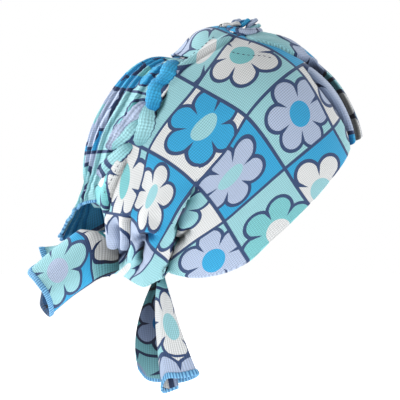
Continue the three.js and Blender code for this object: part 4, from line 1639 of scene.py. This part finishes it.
def tail_point(lines, share, across):
    share = share[:, None]
    root, middle, end = (smooth_line(lines[key], across) for key in ("root", "middle", "end"))
    near_ends = root * (1 - share) * (1 - 2 * share) + end * share * (2 * share - 1)
    return near_ends + middle * 4 * share * (1 - share)


def tail_normal(lines, share, across, step=0.01):
    along = tail_point(lines, share + step, across) - tail_point(lines, share - step, across)
    over = tail_point(lines, share, across + step) - tail_point(lines, share, across - step)
    return unit(np.cross(along, over))


print("points in a line:", len(TAIL_OUTER["root"]), "and", len(TAIL_HANGING["root"]))

# %% [markdown]
# Folds start at the gathered root and run out along the end, where the cloth only waves a little. The
# cloth stops inside its hem. The root of the outer end goes on under the flap, drawn together into a small
# bundle, and its folds there show another part of the print.

# %% Tie end cloth
TAIL_WALL = 1.3
TAIL_HEM = 5.4
TAIL_GRID = (200, 80)
UNDER_HEM = 0.6
STRAIGHT_ROOT = -0.12
ROOT_SHIFT = 2
ROOT_BUNDLE = {"place": (-117.0, -20.0, -196.0), "size": 0.55}
ROOT_SHADE_END = 0.18
TAIL_WAVE = {"height": 0.5, "length": 26, "stretch": (150, 30), "loss": 0.5}
INSIDE_SPAN = (0.3, 1)
TAILS = {
    "tail_outer": {
        "lines": TAIL_OUTER, "width": 105.0, "length": 58.0, "flip": True, "seed": 5,
        "hidden_root": 0.32, "root_shade": 0.9, "inside_shade": (0.9, 0.75), "mouth_shade": 0.8,
        "print": {"across": 0.735, "along": 4.0, "column": 4, "row": 5, "tile": 55.0, "crosswise": True},
    },
    "tail_hanging": {
        "lines": TAIL_HANGING, "width": 100.0, "length": 95.0, "flip": False, "seed": 8,
        "hidden_root": 0.0, "root_shade": 0.6, "inside_shade": (0.8, 0.25), "mouth_shade": 0.0,
        "print": {"across": 0.66, "along": 71.0, "column": 4.5, "row": 4, "tile": 60.0, "crosswise": False},
    },
}


def hem_share(lines):
    return TAIL_HEM / float(np.linalg.norm(np.subtract(lines["root"][3], lines["end"][3])))


def tail_tiles(tail, share, across):
    lay = tail["print"]
    sideways = (across - lay["across"]) * tail["width"] / lay["tile"]
    lengthwise = (share * tail["length"] - lay["along"]) / lay["tile"]
    if lay["crosswise"]:
        return np.stack([lay["column"] - lengthwise, lay["row"] + sideways], -1)
    return np.stack([lay["column"] + sideways, lay["row"] + lengthwise], -1)


for name, tail in TAILS.items():
    lines, hidden = tail["lines"], tail["hidden_root"]
    piece, across, along = cloth_grid(name + "_cloth", *TAIL_GRID)
    share = -hidden + along * (1 - UNDER_HEM * hem_share(lines) + hidden)
    points = tail_point(lines, np.maximum(share, STRAIGHT_ROOT), across)
    tiles = tail_tiles(tail, share, across)[corners(piece)]
    if hidden:
        root = smooth_line(lines["root"], across)
        bundle = ROOT_BUNDLE["place"] + ROOT_BUNDLE["size"] * (root - root.mean(0))
        points += (bundle - points) * rise(0, hidden, -share)[:, None]
        by_root = tiles.reshape(-1, 4, 2)[:, :, 0].mean(1) > tail["print"]["column"]
        tiles[:, 0] += np.repeat(ROOT_SHIFT * by_root, 4)
    over, down = across * TAIL_WAVE["stretch"][0], share * TAIL_WAVE["stretch"][1]
    height = TAIL_WAVE["height"] * (1 - TAIL_WAVE["loss"] * share)
    wave = height * ripple(over, down, TAIL_WAVE["length"], tail["seed"])
    points += tail_normal(lines, share, across) * wave[:, None]
    move_points(piece, points)
    lay_map(piece, "cloth_print", tiles)
    shade_creases(piece, tail["root_shade"] * (1 - rise(-hidden, ROOT_SHADE_END, share)))
    close_up(piece)
    if tail["flip"]:
        piece.data.flip_normals()
    give_wall(piece, TAIL_WALL)
    shade_reverse(piece, np.interp(share, INSIDE_SPAN, tail["inside_shade"]))
    stand_for(piece, "printed_knit", name)

# %% [markdown]
# ## Overlocked hems
# The free edges are finished with overlock thread: a narrow, thicker strip with the thread wound over it
# in close bars. Each hem is a flat tube along its edge, and the bars are real ridges, because they show
# in its outline.

# %% Hem strips
HEM_WALL = 2.3
BAR_PITCH = 2.0
BAR_COLUMNS = 5
BAR_FULLNESS = 0.8
BAR_SLANT = 0.12
BAR_HEIGHT = {"least": 0.82, "more": 0.36}
HEM_SIDES = 16
HEM_SQUARENESS = 0.6
HEM_WAVER = 0.1
HEM_MOUTH = (0.68, 0.76)
INNER_HALF = 0.3


def hem_strip(name, edge, width, length, mouth_shade=0.0):
    edge_point, edge_along, edge_out = edge
    bars = int(length / BAR_PITCH)
    columns = BAR_COLUMNS * bars
    piece, across, around = cloth_grid(name + "_strip", columns, HEM_SIDES)
    angle = 2 * math.pi * around
    ridges = ridge(bars * across + BAR_SLANT * np.sin(angle), BAR_FULLNESS)
    bar = BAR_HEIGHT["least"] + BAR_HEIGHT["more"] * ridges
    ends = np.minimum(1, np.minimum(across, 1 - across) * columns)
    outwards = width / 2 * (1 + np.cos(angle) * (1 - HEM_WAVER + HEM_WAVER * bar) * ends)
    bulge = np.sign(np.sin(angle)) * np.abs(np.sin(angle)) ** HEM_SQUARENESS
    points = edge_point(across) + edge_along(across) * outwards[:, None]
    points += edge_out(across) * (HEM_WALL / 2 * bulge * bar * ends)[:, None]
    move_points(piece, points)
    shade_creases(piece, mouth_shade * rise(*HEM_MOUTH, across) * (np.sin(angle) < INNER_HALF))
    lay_map(piece, "thread_run", np.stack([bars * across, around], -1)[corners(piece)])
    close_up(piece)
    bpy.ops.object.mode_set(mode="EDIT")
    bpy.ops.mesh.select_all(action="SELECT")
    bpy.ops.mesh.normals_make_consistent(inside=False)
    bpy.ops.object.mode_set(mode="OBJECT")
    piece.data.materials.append(HEM_THREAD)
    bpy.ops.object.shade_smooth()
    stand_for(piece, "overlock_thread", name)


def tail_edge(lines):
    hem = hem_share(lines)

    def point(across):
        return tail_point(lines, np.full_like(across, 1 - hem), across)

    def along(across):
        return unit(tail_point(lines, np.ones_like(across), across) - point(across))

    def out(across):
        return tail_normal(lines, np.full_like(across, 1 - hem / 2), across)

    return point, along, out


for name, tail in TAILS.items():
    hem_strip(name + "_hem", tail_edge(tail["lines"]), TAIL_HEM, tail["width"], tail["mouth_shade"])

# %% [markdown]
# The flap's hem is the same strip along the lower edge of the back panel. It stops short of the two
# seams, where the panel is sewn in.

# %% Hem of the flap
FLAP_HEM = 2.6
FLAP_HEM_SPAN = 0.78
FLAP_HEM_LENGTH = 80.0
ABOVE_EDGE = 0.95


def flap_line(share, across):
    return drape_point(np.full_like(across, share), (2 * across - 1) * FLAP_HEM_SPAN, CLOTH_WALL / 2)


def flap_edge(across):
    return flap_line(1.0, across)


def flap_along(across):
    return unit(flap_edge(across) - flap_line(ABOVE_EDGE, across))


def flap_out(across):
    along = flap_along(across)
    out = flap_edge(across) - FORM_MIDDLE
    return unit(out - along * (out * along).sum(1, keepdims=True))


hem_strip("flap_hem", (flap_edge, flap_along, flap_out), FLAP_HEM, FLAP_HEM_LENGTH)

# %% [markdown]
# ## Stitches
# A few hand stitches of dark thread hold the folds of the crown down. One stitch is modelled as a short,
# flat bead and then copied along each line. Each copy lies on the cloth, so it is turned into the line's
# direction and the cloth's normal, in its mesh.

# %% Stitches
STITCH_LINES = [
    [(142, 50), (140.5, 37.6), (136.4, 31.5), (134.8, 25.6)],
    [(107.4, 34), (100.1, 35.1), (87, 36.5), (77.8, 36.4), (69.2, 38.2)],
    [(155, 97.2), (159.2, 103.8), (164.4, 109.5)],
]
STITCH_PITCH = 4.6
ABOVE_CLOTH = 0.1
LINE_STEPS = 200
STITCH_SIZE = np.array([2.6, 0.8, 0.6])

bpy.ops.object.select_all(action="DESELECT")
bpy.ops.mesh.primitive_uv_sphere_add(segments=8, ring_count=5, radius=0.5)
stitch = bpy.context.object
stitch.name = "crown_stitches"
stitch.data.materials.append(STITCH_THREAD)
bpy.ops.object.shade_smooth()
bead = np.empty(3 * len(stitch.data.vertices), np.float32)
stitch.data.vertices.foreach_get("co", bead)
bead = bead.reshape(-1, 3) * STITCH_SIZE


def stitches_along(line, hand):
    turns, downs = np.array(line, float).T
    fine = np.linspace(0, len(turns) - 1, LINE_STEPS)
    knots = np.arange(len(turns))
    turns, downs = np.interp(fine, knots, turns), np.interp(fine, knots, downs)
    path = crown_point(hand * turns, downs, -ABOVE_CLOTH)
    run = np.r_[0, np.cumsum(np.linalg.norm(np.diff(path, axis=0), axis=1))]
    outs = crown_normal(turns, downs) * (1, hand, 1)
    for at in np.arange(STITCH_PITCH / 2, run[-1], STITCH_PITCH):
        middle, before, after = (
            np.array([np.interp(at + ahead, run, path[:, k]) for k in range(3)]) for ahead in (0, -1, 1)
        )
        along = unit(after - before)
        out = outs[np.searchsorted(run, at)]
        beside = np.cross(out, along)
        yield middle + bead @ np.array([along, beside, np.cross(along, beside)])


copies = []
for hand in (-1, 1):
    for line in STITCH_LINES:
        for points in stitches_along(line, hand):
            copy = stitch.copy()
            copy.data = stitch.data.copy()
            bpy.context.collection.objects.link(copy)
            move_points(copy, points)
            copies.append(copy)
bpy.data.objects.remove(stitch)
bpy.ops.object.select_all(action="DESELECT")
stitches = join(copies, "crown_stitches")
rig.slot(stitches, "overlock_thread")
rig.ride(stitches, "root")
print("stitches:", len(copies))

# %% [markdown]
# ## The cut of the cloth
# Each sheet is declared with the flat piece that it was cut from. A stretched sheet is cut smaller than
# what it goes over and a gathered one larger. The sizes were shared out from the area that the cloth
# measures, to the width and length that a maker would cut, and each sheet's area is printed beside its cut.

# %% Flat sizes
CUT_HEADS = ("width", "length", "area", "held", "rests_on", "hems")
SHEETS = {
    "crown_cloth": (0.480, 0.260, 0.0950, "stretched", [], []),
    "back_drape_cloth": (0.150, 0.190, 0.0285, "gathered", ["crown_cloth"], ["flap_hem_strip"]),
    "ruffle_right_cloth": (0.036, 0.140, 0.0050, "gathered", ["crown_cloth"], []),
    "ruffle_left_cloth": (0.036, 0.140, 0.0050, "gathered", ["crown_cloth"], []),
    "knot_band_cloth": (0.012, 0.110, 0.0013, "folded", ["crown_cloth"], []),
    "knot_tuft_cloth": (0.030, 0.050, 0.0015, "folded", ["knot_band_cloth"], []),
    "nape_knot_cloth": (0.030, 0.065, 0.0019, "folded", ["crown_cloth"], []),
    "tail_outer_cloth": (0.105, 0.072, 0.0068, "folded", ["nape_knot_cloth"], ["tail_outer_hem_strip"]),
    "tail_hanging_cloth": (0.100, 0.095, 0.0068, "hung", ["nape_knot_cloth"], ["tail_hanging_hem_strip"]),
}

for name, line in SHEETS.items():
    cut = dict(zip(CUT_HEADS, line))
    sheet = bpy.data.objects[name]
    area = sum(face.area for face in sheet.data.polygons) / 2
    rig.sheet(
        sheet, flat=(cut["width"], cut["length"]), area=cut["area"], held=cut["held"],
        rests_on=cut["rests_on"], with_pieces=[bpy.data.objects[hem] for hem in cut["hems"]],
    )
    print(name, "cloth %.4f square metres, cut %.4f" % (area, cut["area"]))

# %% [markdown]
# ## Size and finish
# The cloth may stand a little proud of the solids, so both boxes are written down in extents.json.

# %% Measure and finish
low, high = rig.bounds()
with open("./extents.json", "w") as file:
    json.dump({"cad": [list(CAD_LOW), list(CAD_HIGH)], "visual": [list(low), list(high)]}, file)
print("visual box in mm:", [round(1000 * (b - a), 1) for a, b in zip(low, high)])
